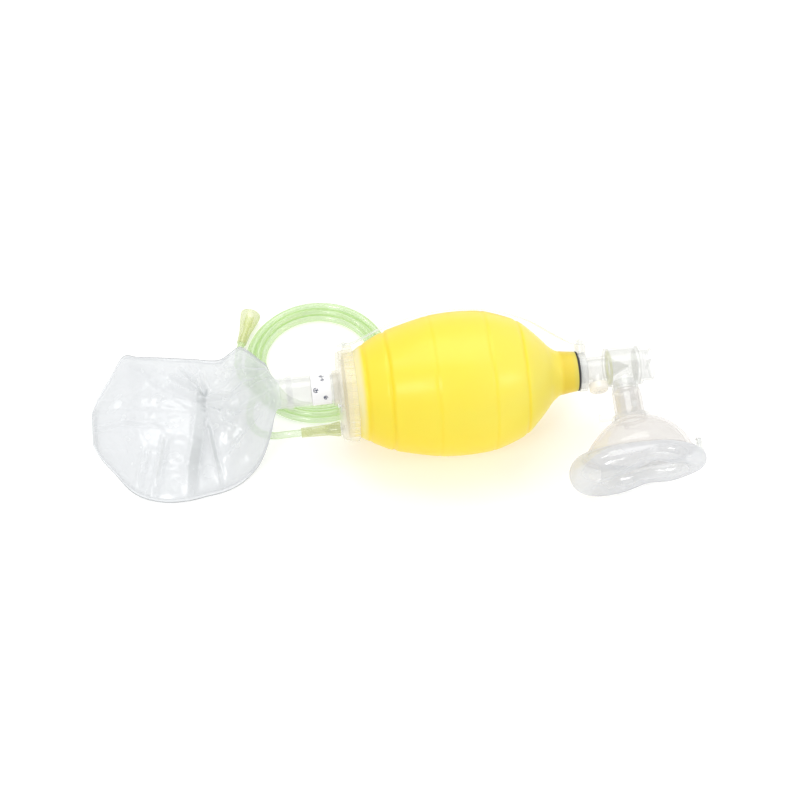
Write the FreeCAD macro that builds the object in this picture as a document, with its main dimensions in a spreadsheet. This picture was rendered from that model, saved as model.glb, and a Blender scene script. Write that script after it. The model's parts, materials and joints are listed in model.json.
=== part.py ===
import FreeCAD, Part
import math
import os

import Sketcher

# Manual resuscitator (bag valve mask) lying on a table.
# +X runs along the compression bag from the oxygen reservoir to the mask, +Z is up, and the
# table is z = 0. Lengths are millimetres and angles are degrees.
#
# Two local frames are used. "Bag" pieces are drawn with x along the bag's axis, counted from
# the rear rim of the bag. "Valve" pieces are drawn upright, with the origin where the patient
# port's axis crosses the bag's axis, x along the bag and -z towards the mask.

DIMENSIONS = {
    # place of the bag's rear rim in the part's frame
    "shift_x": -32.0,
    "shift_y": 1.4,
    "axis_height": 66.07,
    # compression bag
    "bag_wall": 2.5,
    "lip_back": -8.8,
    "lip_front": 1.0,
    "lip_radius": 38.5,
    "ridge_a_x": 11.0,
    "ridge_a_radius": 45.3,
    "ridge_b_x": 31.0,
    "ridge_b_radius": 54.6,
    "ridge_c_x": 72.0,
    "ridge_c_radius": 64.6,
    "ridge_d_x": 123.0,
    "ridge_d_radius": 63.0,
    "ridge_e_x": 157.0,
    "ridge_e_radius": 50.4,
    "shoulder_x": 176.0,
    "shoulder_radius": 32.2,
    "neck_back": 191.0,
    "neck_back_radius": 20.0,
    "neck_front": 204.0,
    "neck_front_radius": 18.3,
    "ab_arc": 200.0,
    "bc_arc": 150.0,
    "belly_arc": 150.0,
    "de_arc": 78.0,
    "shoulder_arc": 45.0,
    "neck_arc": 25.0,
    # rear end
    "ring_radius": 41.8,
    "housing_radius": 35.9,
    "housing_wall": 2.2,
    "seat_back": -1.4,
    "seat_front": 0.4,
    "cover_back": -14.4,
    "cover_front": -11.8,
    "socket_lift": 8.0,
    "nipple_drop": 32.0,
    "side_angle": 55.0,
    "side_valve_reach": 26.0,
    "connector_back": -68.0,
    "connector_radius": 13.75,
    "connector_wall": 1.6,
    "label_back": -39.5,
    "label_front": -22.0,
    # oxygen tubing
    "tube_radius": 3.25,
    "coil_centre_x": -27.5,
    "coil_centre_y": 86.0,
    "coil_outer": 70.5,
    "coil_inner": 51.0,
    "coil_height": 13.2,
    "fitting_length": 36.0,
    # hand strap
    "strap_angle": 40.0,
    "strap_half_width": 12.0,
    "strap_thickness": 1.5,
    # patient valve
    "port_x": 247.5,
    "mask_lean": 13.3,
    "inlet_back": -49.0,
    "inlet_radius": 11.65,
    "inlet_bore": 9.3,
    "valve_flange_back": -15.0,
    "valve_joint": -12.4,
    "drum_front": 15.0,
    "drum_radius": 18.0,
    "drum_wall": 1.9,
    "stub_radius": 12.3,
    "stub_bore": 10.2,
    "stub_end": -21.5,
    "relief_x": -24.2,
    "relief_radius": 7.7,
    "exhaust_radius": 15.0,
    "exhaust_end": 28.0,
    # mask
    "male_radius": 11.0,
    "male_end": -43.0,
    "patient_bore": 7.5,
    "mask_neck_top": -25.0,
    "mask_neck_radius": 13.0,
    "dome_top": -53.4,
    "shell_wall": 1.8,
    "dome_base": -86.8,
    "cushion_centre": -99.5,
    "cushion_tube": 12.5,
    "cushion_wall": 1.0,
    "cushion_half_length": 51.5,
    "cushion_half_width": 31.5,
}

doc = FreeCAD.newDocument("bag_valve_mask")
sheet = doc.addObject("Spreadsheet::Sheet", "Dims")
for row, (alias, number) in enumerate(DIMENSIONS.items(), start=1):
    sheet.set(f"A{row}", alias)
    sheet.set(f"B{row}", str(number))
    sheet.setAlias(f"B{row}", alias)
doc.recompute()

X_AXIS = FreeCAD.Vector(1, 0, 0)
Y_AXIS = FreeCAD.Vector(0, 1, 0)
Z_AXIS = FreeCAD.Vector(0, 0, 1)
pieces = []


def size(text):
    """The number a sum of named dimensions and plain numbers comes to."""
    total = 0.0
    sign = 1.0
    for word in str(text).split():
        if word in "+-":
            sign = 1.0 if word == "+" else -1.0
            continue
        total += sign * (DIMENSIONS[word] if word in DIMENSIONS else float(word))
        sign = 1.0
    return total


def formula(text):
    """The same sum, written for the document's expressions."""
    return " ".join("Dims." + word if word in DIMENSIONS else word for word in str(text).split())


def bind(thing, **texts):
    """Binds properties of a document object to the sheet."""
    for name, text in texts.items():
        setattr(thing, name, size(text))
        thing.setExpression(name, formula(text))


def finished(thing, label):
    """Names a sub-part and puts it on the list of those that are written."""
    thing.Label = label
    pieces.append(thing)
    return thing


def place(thing, x="0", y="0", z="0", angle=0.0, axis=X_AXIS):
    """Puts a sub-part in the part's frame: a turn about an axis, then sums from the sheet."""
    thing.Placement = FreeCAD.Placement(
        FreeCAD.Vector(size(x), size(y), size(z)), FreeCAD.Rotation(axis, angle)
    )
    for name, text in (("x", x), ("y", y), ("z", z)):
        thing.setExpression(f"Placement.Base.{name}", formula(text))


def on_bag_axis(thing, turn=0.0):
    """A piece drawn along the bag, turned about its axis."""
    place(thing, "shift_x", "shift_y", "axis_height", turn)


def on_valve(thing, x="0", z="0"):
    """A piece drawn upright in the valve, laid over until the mask rests on the table."""
    turn = size("mask_lean") - 90.0
    lower = FreeCAD.Rotation(X_AXIS, turn).multVec(FreeCAD.Vector(0, 0, size(z)))
    across = f"shift_y + {lower.y:.6f}"
    up = f"axis_height + {lower.z:.6f}"
    place(thing, f"shift_x + port_x + {x}", across, up, turn)


def origin_feature(body, role):
    """One of a body's own origin planes or axes."""
    return [f for f in body.Origin.OriginFeatures if f.Role == role][0]


def new_sketch(body, plane, offset="0"):
    """A sketch on one of the body's origin planes, moved along the plane's normal."""
    count = len([f for f in body.Group if f.TypeId == "Sketcher::SketchObject"])
    sketch = body.newObject("Sketcher::SketchObject", f"{body.Name}_sketch_{count}")
    sketch.AttachmentSupport = (origin_feature(body, plane), [""])
    sketch.MapMode = "FlatFace"
    sketch.AttachmentOffset = FreeCAD.Placement(
        FreeCAD.Vector(0, 0, size(offset)), FreeCAD.Rotation()
    )
    sketch.setExpression("AttachmentOffset.Base.z", formula(offset))
    return sketch


def arc_middle(start, end, radius, side):
    """The middle point of the arc between two points; side 1 bulges left of the way travelled."""
    chord = end - start
    half = chord.Length / 2
    rise = radius - math.sqrt(radius * radius - half * half)
    left = FreeCAD.Vector(-chord.y, chord.x, 0).normalize()
    return (start + end) * 0.5 + left * rise * side


def draw_outline(sketch, corners):
    """Draws a closed outline whose corners are bound to the sheet.

    A corner is (x, y), or (x, y, radius, side) when an arc leads to the next corner.
    """
    points = [FreeCAD.Vector(size(c[0]), size(c[1]), 0) for c in corners]
    ends = []
    first = sketch.GeometryCount
    for number, corner in enumerate(corners):
        start = points[number]
        end = points[(number + 1) % len(points)]
        if len(corner) == 4:
            middle = arc_middle(start, end, size(corner[2]), corner[3])
            edge = sketch.addGeometry(Part.Arc(start, middle, end))
            at_start = 1 if sketch.getPoint(edge, 1).distanceToPoint(start) < 1e-6 else 2
            ends.append((edge, at_start, 3 - at_start))
        else:
            edge = sketch.addGeometry(Part.LineSegment(start, end))
            ends.append((edge, 1, 2))
    for number, (edge, at_start, at_end) in enumerate(ends):
        following = ends[(number + 1) % len(ends)]
        sketch.addConstraint(
            Sketcher.Constraint("Coincident", edge, at_end, following[0], following[1])
        )
    for number, corner in enumerate(corners):
        edge, at_start, at_end = ends[number]
        for kind, text, own_axis in (("DistanceX", corner[0], -2), ("DistanceY", corner[1], -1)):
            if abs(size(text)) < 1e-9:
                sketch.addConstraint(
                    Sketcher.Constraint("PointOnObject", edge, at_start, own_axis)
                )
                continue
            made = sketch.addConstraint(
                Sketcher.Constraint(kind, -1, 1, edge, at_start, size(text))
            )
            name = f"{kind}_{first + number}"
            sketch.renameConstraint(made, name)
            sketch.setExpression(f"Constraints.{name}", formula(text))
        if len(corner) == 4:
            made = sketch.addConstraint(Sketcher.Constraint("Radius", edge, size(corner[2])))
            sketch.renameConstraint(made, f"arc_{first + number}")
            sketch.setExpression(f"Constraints.arc_{first + number}", formula(corner[2]))


def draw_circle(sketch, x, y, radius):
    """Draws a circle whose centre and radius are bound to the sheet."""
    edge = sketch.addGeometry(
        Part.Circle(FreeCAD.Vector(size(x), size(y), 0), Z_AXIS, size(radius))
    )
    for kind, text, own_axis in (("DistanceX", x, -2), ("DistanceY", y, -1)):
        if abs(size(text)) < 1e-9:
            sketch.addConstraint(Sketcher.Constraint("PointOnObject", edge, 3, own_axis))
            continue
        made = sketch.addConstraint(Sketcher.Constraint(kind, -1, 1, edge, 3, size(text)))
        sketch.renameConstraint(made, f"{kind}_{edge}")
        sketch.setExpression(f"Constraints.{kind}_{edge}", formula(text))
    made = sketch.addConstraint(Sketcher.Constraint("Radius", edge, size(radius)))
    sketch.renameConstraint(made, f"radius_{edge}")
    sketch.setExpression(f"Constraints.radius_{edge}", formula(radius))


def new_body(name):
    """A PartDesign body that becomes one sub-part."""
    return finished(doc.addObject("PartDesign::Body", name), name)


def turned(name, corners):
    """A body of revolution about the bag's axis: corners are (x, radius)."""
    body = new_body(name)
    sketch = new_sketch(body, "XY_Plane")
    draw_outline(sketch, corners)
    feature = body.newObject("PartDesign::Revolution", f"{name}_turned")
    feature.Profile = sketch
    feature.ReferenceAxis = (sketch, ["H_Axis"])
    feature.Angle = 360
    return body


def turned_upright(name, corners):
    """A body of revolution about its own z axis: corners are (radius, z)."""
    body = new_body(name)
    sketch = new_sketch(body, "XZ_Plane")
    draw_outline(sketch, corners)
    feature = body.newObject("PartDesign::Revolution", f"{name}_turned")
    feature.Profile = sketch
    feature.ReferenceAxis = (sketch, ["V_Axis"])
    feature.Angle = 360
    return body


def pocket_through(body, sketch, reach):
    """Cuts a sketch's outline on both sides of its plane, and checks that material went."""
    doc.recompute()
    before = body.Shape.Volume
    feature = body.newObject("PartDesign::Pocket", f"{sketch.Name}_pocket")
    feature.Profile = sketch
    feature.Midplane = True
    feature.Length = reach
    body.Tip = feature
    doc.recompute()
    if body.Shape.Volume > before - 1e-3:
        raise RuntimeError(f"{sketch.Name} cut nothing from {body.Label}")
    return feature


def pad_both_ways(body, sketch, length):
    """Pads a sketch on both sides of its plane, fused with the body."""
    feature = body.newObject("PartDesign::Pad", f"{sketch.Name}_pad")
    feature.Profile = sketch
    feature.Midplane = True
    bind(feature, Length=length)
    body.Tip = feature
    return feature


def repeat_around(body, feature, role, count):
    """Repeats a feature evenly around one of the body's origin axes."""
    pattern = body.newObject("PartDesign::PolarPattern", f"{feature.Name}_pattern")
    pattern.Originals = [feature]
    pattern.Axis = (origin_feature(body, role), [""])
    pattern.Angle = 360
    pattern.Occurrences = count
    body.Tip = pattern
    return pattern


def hole_ring(body, offset, pitch_radius, hole_radius, count, reach=3.0):
    """Round holes along the bag's axis, evenly spaced on a pitch circle."""
    sketch = new_sketch(body, "YZ_Plane", offset)
    draw_circle(sketch, pitch_radius, "0", hole_radius)
    feature = pocket_through(body, sketch, reach)
    repeat_around(body, feature, "X_Axis", count)


def pipe_piece(name, parts, cuts=()):
    """A piece fused from primitives, less other primitives, all drawn in its own frame."""
    solid = parts[0]
    if len(parts) > 1:
        solid = doc.addObject("Part::MultiFuse", f"{name}_walls")
        solid.Shapes = parts
    if cuts:
        tools = cuts[0]
        if len(cuts) > 1:
            tools = doc.addObject("Part::MultiFuse", f"{name}_hollows")
            tools.Shapes = list(cuts)
        whole = doc.addObject("Part::Cut", name)
        whole.Base = solid
        whole.Tool = tools
        solid = whole
    return finished(solid, name)


def rod(name, radius, start, end, x="0", y="0", axis="z"):
    """A cylinder from start to end along z, or along x where axis is "x"."""
    cylinder = doc.addObject("Part::Cylinder", name)
    bind(cylinder, Radius=radius)
    cylinder.Height = size(end) - size(start)
    cylinder.setExpression("Height", f"({formula(end)}) - ({formula(start)})")
    if axis == "x":
        place(cylinder, start, x, y, 90.0, Y_AXIS)
    else:
        place(cylinder, x, y, start)
    return cylinder


# --------------------------------------------------------------------------------------------
# Compression bag and the parts clamped in its two ends
# --------------------------------------------------------------------------------------------


def make_compression_bag():
    """Blow-moulded bag: bands between five faint ridges, open at the rear rim and the neck."""
    outer = [
        ("lip_back", "lip_radius"),
        ("lip_front", "lip_radius"),
        ("ridge_a_x", "ridge_a_radius", "ab_arc", 1),
        ("ridge_b_x", "ridge_b_radius", "bc_arc", 1),
        ("ridge_c_x", "ridge_c_radius", "belly_arc", 1),
        ("ridge_d_x", "ridge_d_radius", "de_arc", 1),
        ("ridge_e_x", "ridge_e_radius", "shoulder_arc", 1),
        ("shoulder_x", "shoulder_radius", "neck_arc", -1),
        ("neck_back", "neck_back_radius"),
        ("neck_front", "neck_front_radius"),
    ]
    inner = [
        ("neck_front", "neck_front_radius - bag_wall"),
        ("neck_back", "neck_back_radius - bag_wall", "neck_arc", 1),
        ("shoulder_x", "shoulder_radius - bag_wall", "shoulder_arc", -1),
        ("ridge_e_x", "ridge_e_radius - bag_wall", "de_arc", -1),
        ("ridge_d_x", "ridge_d_radius - bag_wall", "belly_arc", -1),
        ("ridge_c_x", "ridge_c_radius - bag_wall", "bc_arc", -1),
        ("ridge_b_x", "ridge_b_radius - bag_wall", "ab_arc", -1),
        ("ridge_a_x", "ridge_a_radius - bag_wall"),
        ("lip_front", "lip_radius - bag_wall"),
        ("lip_back", "lip_radius - bag_wall"),
    ]
    on_bag_axis(turned("compression_bag", outer + inner))


def make_rear_end():
    """Clamping ring, intake housing with its disc, and the rear cover with its fittings."""
    ring = turned(
        "rear_retaining_ring",
        [
            ("lip_back", "lip_radius + 0.05"),
            ("lip_back", "ring_radius"),
            ("lip_front - 1", "ring_radius"),
            ("lip_front - 0.2", "ring_radius - 0.8"),
            ("lip_front - 0.2", "lip_radius + 0.05"),
        ],
    )
    sketch = new_sketch(ring, "YZ_Plane", "lip_front - 4.6")
    draw_outline(
        sketch,
        [
            ("-1.1", "ring_radius - 0.6"),
            ("1.1", "ring_radius - 0.6"),
            ("0.8", "ring_radius + 1.1"),
            ("-0.8", "ring_radius + 1.1"),
        ],
    )
    rib = pad_both_ways(ring, sketch, "7.6")
    repeat_around(ring, rib, "X_Axis", 36)
    lug = new_sketch(ring, "YZ_Plane", "lip_front - 4.6")
    draw_outline(
        lug,
        [
            ("-13", "ring_radius - 4"),
            ("13", "ring_radius - 4"),
            ("13", "ring_radius + 2.6"),
            ("-13", "ring_radius + 2.6"),
        ],
    )
    pad_both_ways(ring, lug, "7.6")
    bore = new_sketch(ring, "YZ_Plane", "lip_front - 4.6")
    draw_circle(bore, "0", "0", "lip_radius + 0.05")
    pocket_through(ring, bore, 12)
    on_bag_axis(ring, size("strap_angle") - 90)

    housing = turned(
        "intake_housing",
        [
            ("seat_back", "0"),
            ("seat_back", "housing_radius - housing_wall"),
            ("cover_front + 0.1", "housing_radius - housing_wall"),
            ("cover_front + 0.1", "ring_radius - 0.6"),
            ("lip_back - 0.1", "ring_radius - 0.6"),
            ("lip_back - 0.1", "housing_radius"),
            ("10", "housing_radius"),
            ("10", "housing_radius - housing_wall"),
            ("seat_front", "housing_radius - housing_wall"),
            ("seat_front", "1.6"),
            ("4.4", "1.6"),
            ("4.4", "2.8"),
            ("5.8", "2.2"),
            ("5.8", "0"),
        ],
    )
    hole_ring(housing, "seat_front - 1", "9.5", "3.6", 6, 4)
    on_bag_axis(housing)

    disc = turned(
        "intake_valve_disc",
        [
            ("seat_front + 0.05", "1.7"),
            ("seat_front + 0.05", "15.5"),
            ("seat_front + 0.75", "15.5"),
            ("seat_front + 1.2", "5"),
            ("seat_front + 1.2", "1.7"),
        ],
    )
    on_bag_axis(disc)


def make_rear_cover():
    """Cover drawn with z towards the reservoir socket, which sits off the bag's axis."""
    cover = new_body("rear_cover")
    plate = new_sketch(cover, "YZ_Plane", "cover_front - 1.3")
    draw_circle(plate, "0", "0", "ring_radius - 1.8")
    pad_both_ways(cover, plate, "2.6")
    wall = new_sketch(cover, "YZ_Plane", "cover_back - 1.8")
    draw_circle(wall, "0", "socket_lift", "connector_radius + 2.4")
    pad_both_ways(cover, wall, "6.4")
    bore = new_sketch(cover, "YZ_Plane", "cover_back")
    draw_circle(bore, "0", "socket_lift", "connector_radius + 0.05")
    pocket_through(cover, bore, 16)
    inlet = new_sketch(cover, "YZ_Plane", "cover_back")
    draw_circle(inlet, "0", "- nipple_drop", "3.05")
    pocket_through(cover, inlet, 8)
    for side in ("side_valve_reach", "- side_valve_reach"):
        for spoke in range(3):
            turn = math.radians(120 * spoke + 90)
            port = new_sketch(cover, "YZ_Plane", "cover_back")
            draw_circle(
                port,
                f"{side} + {4.0 * math.cos(turn):.3f}",
                f"{4.0 * math.sin(turn):.3f}",
                "2.1",
            )
            pocket_through(cover, port, 8)
        peg = new_sketch(cover, "YZ_Plane", "cover_back")
        draw_circle(peg, side, "0", "0.95")
        pocket_through(cover, peg, 8)
    on_bag_axis(cover, size("side_angle") - 90)


def side_valve(name, side, facing):
    """Thin disc on a headed peg beside the socket; facing +1 opens into the bag, -1 outwards."""
    back = size("cover_back")
    front = size("cover_front")
    face = front + 0.05 if facing > 0 else back - 0.05
    disc = doc.addObject("Part::Cylinder", f"{name}_blank")
    disc.Radius = 7.0
    disc.Height = 0.7
    hole = doc.addObject("Part::Cylinder", f"{name}_hole")
    hole.Radius = 1.05
    hole.Height = 0.7
    flap = doc.addObject("Part::Cut", f"{name}_disc")
    flap.Base = disc
    flap.Tool = hole
    finished(flap, f"{name}_disc")
    start = face if facing > 0 else face - 0.7
    lift = FreeCAD.Vector(start, size(side), 0)
    turn = FreeCAD.Rotation(X_AXIS, size("side_angle") - 90)
    base = FreeCAD.Vector(size("shift_x"), size("shift_y"), size("axis_height"))
    flap.Placement = FreeCAD.Placement(base + turn.multVec(lift), turn).multiply(
        FreeCAD.Placement(FreeCAD.Vector(), FreeCAD.Rotation(Y_AXIS, 90))
    )
    far = face + facing * 2.0
    shank = rod(f"{name}_shank", "0.9", "0", f"{abs(far - (back if facing > 0 else front)):.3f}")
    head = rod(f"{name}_head", "1.9", "-0.9", "0")
    peg = doc.addObject("Part::MultiFuse", f"{name}_peg")
    peg.Shapes = [shank, head]
    finished(peg, f"{name}_peg")
    flip = FreeCAD.Rotation(Y_AXIS, -90 * facing)
    peg.Placement = FreeCAD.Placement(
        base + turn.multVec(FreeCAD.Vector(far, size(side), 0)), turn
    ).multiply(FreeCAD.Placement(FreeCAD.Vector(), flip))


def make_reservoir_connector():
    """Tube that carries the reservoir film, its clamp band and a plain label round it."""
    tube = turned(
        "reservoir_connector",
        [
            ("connector_back", "connector_radius - connector_wall"),
            ("connector_back", "connector_radius + 0.6"),
            ("connector_back + 2", "connector_radius"),
            ("cover_front", "connector_radius"),
            ("cover_front", "connector_radius - connector_wall"),
        ],
    )
    label = turned(
        "reservoir_label",
        [
            ("label_back", "connector_radius + 0.02"),
            ("label_back", "connector_radius + 0.2"),
            ("label_front", "connector_radius + 0.2"),
            ("label_front", "connector_radius + 0.02"),
        ],
    )
    band = turned(
        "reservoir_neck_band",
        [
            ("connector_back + 6", "connector_radius + 0.6"),
            ("connector_back + 6", "connector_radius + 1.8"),
            ("connector_back + 11", "connector_radius + 1.8"),
            ("connector_back + 11", "connector_radius + 0.6"),
        ],
    )
    lift = math.radians(size("side_angle"))
    across = f"shift_y + {size('socket_lift') * math.cos(lift):.4f}"
    up = f"axis_height + {size('socket_lift') * math.sin(lift):.4f}"
    for piece in (tube, label, band):
        place(piece, "shift_x", across, up)


def make_oxygen_nipple():
    """Barbed nipple standing back from the rear cover, off the bag's axis."""
    nipple = turned(
        "oxygen_nipple",
        [
            ("cover_front", "1.4"),
            ("cover_front", "3.0"),
            ("cover_back - 0.05", "3.0"),
            ("cover_back - 0.05", "5.6"),
            ("cover_back - 1.6", "5.6"),
            ("cover_back - 1.6", "3.5"),
            ("cover_back - 9", "3.5"),
            ("cover_back - 9", "3.9"),
            ("cover_back - 14", "2.9"),
            ("cover_back - 14", "1.4"),
        ],
    )
    drop = math.radians(size("side_angle"))
    across = f"shift_y - {size('nipple_drop') * math.cos(drop):.4f}"
    down = f"axis_height - {size('nipple_drop') * math.sin(drop):.4f}"
    place(nipple, "shift_x", across, down)


def make_front_end():
    """Neck adaptor with its flange, the sealing ring and the collar that carries the strap."""
    adaptor = turned(
        "neck_adaptor",
        [
            ("neck_back + 1", "13.4"),
            ("neck_back + 1", "neck_front_radius - bag_wall - 0.05"),
            ("neck_front + 2.9", "neck_front_radius - bag_wall - 0.05"),
            ("neck_front + 2.9", "16.8"),
            ("neck_front + 9.5", "16.8"),
            ("neck_front + 9.5", "11.7"),
            ("neck_front - 3", "11.7"),
            ("neck_front - 3", "13.4"),
        ],
    )
    on_bag_axis(adaptor)
    seal = doc.addObject("Part::Torus", "neck_o_ring")
    seal.Radius1 = 17.15
    seal.Radius2 = 1.3
    finished(seal, "neck_o_ring")
    place(seal, "shift_x + neck_front + 1.4", "shift_y", "axis_height", 90.0, Y_AXIS)
    collar = turned(
        "front_collar",
        [
            ("neck_front + 2.9", "16.85"),
            ("neck_front + 2.9", "19"),
            ("neck_front + 8.9", "19.4"),
            ("neck_front + 9.5", "18.8"),
            ("neck_front + 9.5", "16.85"),
        ],
    )
    lug = new_sketch(collar, "YZ_Plane", "neck_front + 6.2")
    draw_outline(lug, [("-12", "17.2"), ("12", "17.2"), ("12", "24.6"), ("-12", "24.6")])
    pad_both_ways(collar, lug, "6")
    on_bag_axis(collar, size("strap_angle") - 90)


def make_hand_strap():
    """Clear band over the back of the bag, buttoned on a lug at each end."""
    strap = new_body("hand_strap")
    sketch = new_sketch(strap, "XZ_Plane")
    over = [
        ("-9", "46.6"),
        ("2", "47.4"),
        ("27", "57.4", "140", 1),
        ("72", "68.4", "190", 1),
        ("123", "66.6", "85", 1),
        ("165", "51.6"),
        ("200", "28.4"),
        ("214.5", "26.4"),
    ]
    under = [
        ("214.5", "26.4 - strap_thickness"),
        ("199.5", "28.4 - strap_thickness"),
        ("164.2", "51.6 - strap_thickness", "84", -1),
        ("122.8", "66.6 - strap_thickness", "188", -1),
        ("72.3", "68.4 - strap_thickness", "139", -1),
        ("27.4", "57.4 - strap_thickness"),
        ("2", "47.4 - strap_thickness"),
        ("-9", "46.6 - strap_thickness"),
    ]
    draw_outline(sketch, over + under)
    pad_both_ways(strap, sketch, "strap_half_width + strap_half_width")
    slots = new_sketch(strap, "XY_Plane", "strap_half_width")
    for x in ("-5.6", "210.2"):
        for y in ("-6", "6"):
            draw_circle(slots, x, y, "1.65")
    pocket_through(strap, slots, 120)
    on_bag_axis(strap, size("strap_angle") - 90)


def strap_pegs(name, x, foot):
    """A pair of headed pegs on a strap lug; foot is the radius they stand on."""
    solids = []
    for y in ("-6", "6"):
        shank = rod(f"{name}_shank", "1.6", foot, f"{foot} + 2.9", x, y)
        head = rod(f"{name}_head", "2.6", f"{foot} + 2.9", f"{foot} + 4.2", x, y)
        peg = doc.addObject("Part::Fuse", f"{name}_peg")
        peg.Base = shank
        peg.Tool = head
        solids.append(peg)
    group = doc.addObject("Part::Compound", name)
    group.Links = solids
    finished(group, name)
    on_bag_axis(group, size("strap_angle") - 90)


# --------------------------------------------------------------------------------------------
# Reservoir film and oxygen tubing
# --------------------------------------------------------------------------------------------

RESERVOIR_SECTIONS = [
    # x, middle y, middle z, half width, half height
    (-68.3, 4.59, 72.25, 13.6, 13.6),
    (-88.0, 18.0, 55.5, 42.0, 20.0),
    (-104.0, 25.0, 39.5, 68.0, 20.0),
    (-122.0, 28.0, 26.0, 81.0, 19.5),
    (-142.0, 28.5, 19.3, 85.0, 17.4),
    (-165.0, 29.0, 16.0, 85.0, 15.0),
    (-195.0, 30.0, 14.0, 79.0, 13.4),
    (-225.0, 33.0, 12.0, 62.0, 11.2),
    (-247.0, 36.0, 9.6, 36.0, 8.0),
]
FILM_WALL = 0.8


def reservoir_loft(name, inset):
    """Loft through upright ellipses along the reservoir, each smaller by the inset."""
    sections = []
    for number, (x, y, z, half_width, half_height) in enumerate(RESERVOIR_SECTIONS):
        ring = doc.addObject("Part::Ellipse", f"{name}_{number}")
        wide = max(half_width, half_height + 1e-3)
        ring.MajorRadius = wide - inset
        ring.MinorRadius = half_height - inset
        last = number == len(RESERVOIR_SECTIONS) - 1
        base = FreeCAD.Vector(
            size("shift_x") + x + (2 * inset if last else 0), size("shift_y") + y, z
        )
        turn = FreeCAD.Rotation(Y_AXIS, Z_AXIS, X_AXIS, "ZXY")
        ring.Placement = FreeCAD.Placement(base, turn)
        sections.append(ring)
    loft = doc.addObject("Part::Loft", name)
    loft.Sections = sections
    loft.Solid = True
    return loft


def make_reservoir_bag():
    """Soft film bag: hollow, open at its neck, hanging from the connector to the table."""
    outside = reservoir_loft("reservoir_outside", 0.0)
    inside = reservoir_loft("reservoir_inside", FILM_WALL)
    film = doc.addObject("Part::Cut", "reservoir_bag")
    film.Base = outside
    film.Tool = inside
    finished(film, "reservoir_bag")


# The tubing's loose stretches, as corners of its route: from the fitting on the nipple down to
# the coil, and from the coil to the fitting at the far end. x counts from the bag's rear rim.
LEAD_ROUTE = [
    (-52.2, -18.354, 39.857),
    (-64.0, -18.354, 39.857),
    (-78.0, -15.0, 34.0),
    (-90.0, -5.0, 25.5),
    (-97.5, 11.0, 17.5),
    (-98.5, 29.0, 13.0),
    (-94.0, 45.0, 11.0),
    (-86.0, 59.0, 9.9),
]
TAIL_ROUTE = [
    (-93.5, 66.0, 4.2),
    (-103.0, 77.0, 6.4),
    (-105.2, 95.0, 9.8),
    (-99.0, 113.0, 9.8),
]
FAR_FITTING_TURN = 71.0


def tube_along(name, route):
    """Tubing along a route: straight runs joined by arcs as large as the runs allow."""
    shift = FreeCAD.Vector(size("shift_x"), size("shift_y"), 0)
    corners = [FreeCAD.Vector(*point) + shift for point in route]
    edges = []
    start = corners[0]
    radii = []
    for before, corner, after in zip(corners, corners[1:], corners[2:]):
        way_in = (corner - before).normalize()
        way_out = (after - corner).normalize()
        turn = way_in.getAngle(way_out)
        run = min(corner.distanceToPoint(before), after.distanceToPoint(corner))
        reach = 0.45 * run
        radius = reach / math.tan(turn / 2)
        radii.append(radius)
        enter = corner - way_in * reach
        leave = corner + way_out * reach
        inward = (way_out - way_in).normalize()
        middle = corner + inward * (radius / math.cos(turn / 2) - radius)
        edges.append(Part.LineSegment(start, enter).toShape())
        edges.append(Part.Arc(enter, middle, leave).toShape())
        start = leave
    edges.append(Part.LineSegment(start, corners[-1]).toShape())
    path = Part.Wire(edges)
    direction = (corners[1] - corners[0]).normalize()
    ring = Part.Wire(Part.makeCircle(size("tube_radius"), corners[0], direction))
    solid = path.makePipeShell([ring], True, True)
    section = math.pi * size("tube_radius") ** 2
    print(
        f"{name}: length {path.Length:.1f}, smallest radius {min(radii):.1f}, "
        f"volume {solid.Volume:.0f} against {section * path.Length:.0f}"
    )
    feature = doc.addObject("Part::Feature", name)
    feature.Shape = solid
    return finished(feature, name)


def fitting_outline(middle, throat, mouth):
    """Flared tubing fitting, from its tube end at x = 0 to its mouth, with the outside radii."""
    return [
        ("0", "tube_radius + 0.02"),
        ("0", "4.4"),
        ("14", middle),
        ("fitting_length - 10", throat),
        ("fitting_length - 2", mouth),
        ("fitting_length", mouth),
        ("fitting_length", "4"),
        ("fitting_length - 13", "4"),
        ("fitting_length - 14", "2.6"),
        ("10", "2.6"),
        ("10", "tube_radius + 0.02"),
    ]


def make_tubing():
    """Coil, the two loose stretches and the fittings at the two ends."""
    coil = new_body("tubing_coil")
    sketch = new_sketch(coil, "XZ_Plane")
    draw_outline(
        sketch,
        [
            ("coil_inner + 2", "0"),
            ("coil_outer - 2", "0"),
            ("coil_outer", "2"),
            ("coil_outer", "coil_height - 2"),
            ("coil_outer - 2", "coil_height"),
            ("coil_inner + 2", "coil_height"),
            ("coil_inner", "coil_height - 2"),
            ("coil_inner", "2"),
        ],
    )
    feature = coil.newObject("PartDesign::Revolution", "coil_turned")
    feature.Profile = sketch
    feature.ReferenceAxis = (sketch, ["V_Axis"])
    feature.Angle = 360
    place(coil, "shift_x + coil_centre_x", "shift_y + coil_centre_y")
    tube_along("oxygen_tube_lead", LEAD_ROUTE)
    tube_along("oxygen_tube_tail", TAIL_ROUTE)
    near = turned("tubing_connector_near", fitting_outline("4.7", "5.2", "6.8"))
    x, y, z = LEAD_ROUTE[0]
    place(near, f"shift_x + {x}", f"shift_y + {y}", f"{z}")
    far = turned("tubing_connector_far", fitting_outline("5.5", "8.1", "9.6"))
    x, y, z = TAIL_ROUTE[-1]
    place(far, f"shift_x + {x}", f"shift_y + {y}", f"{z}", FAR_FITTING_TURN, Z_AXIS)


# --------------------------------------------------------------------------------------------
# Patient valve, drawn upright with the mask below
# --------------------------------------------------------------------------------------------


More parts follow.
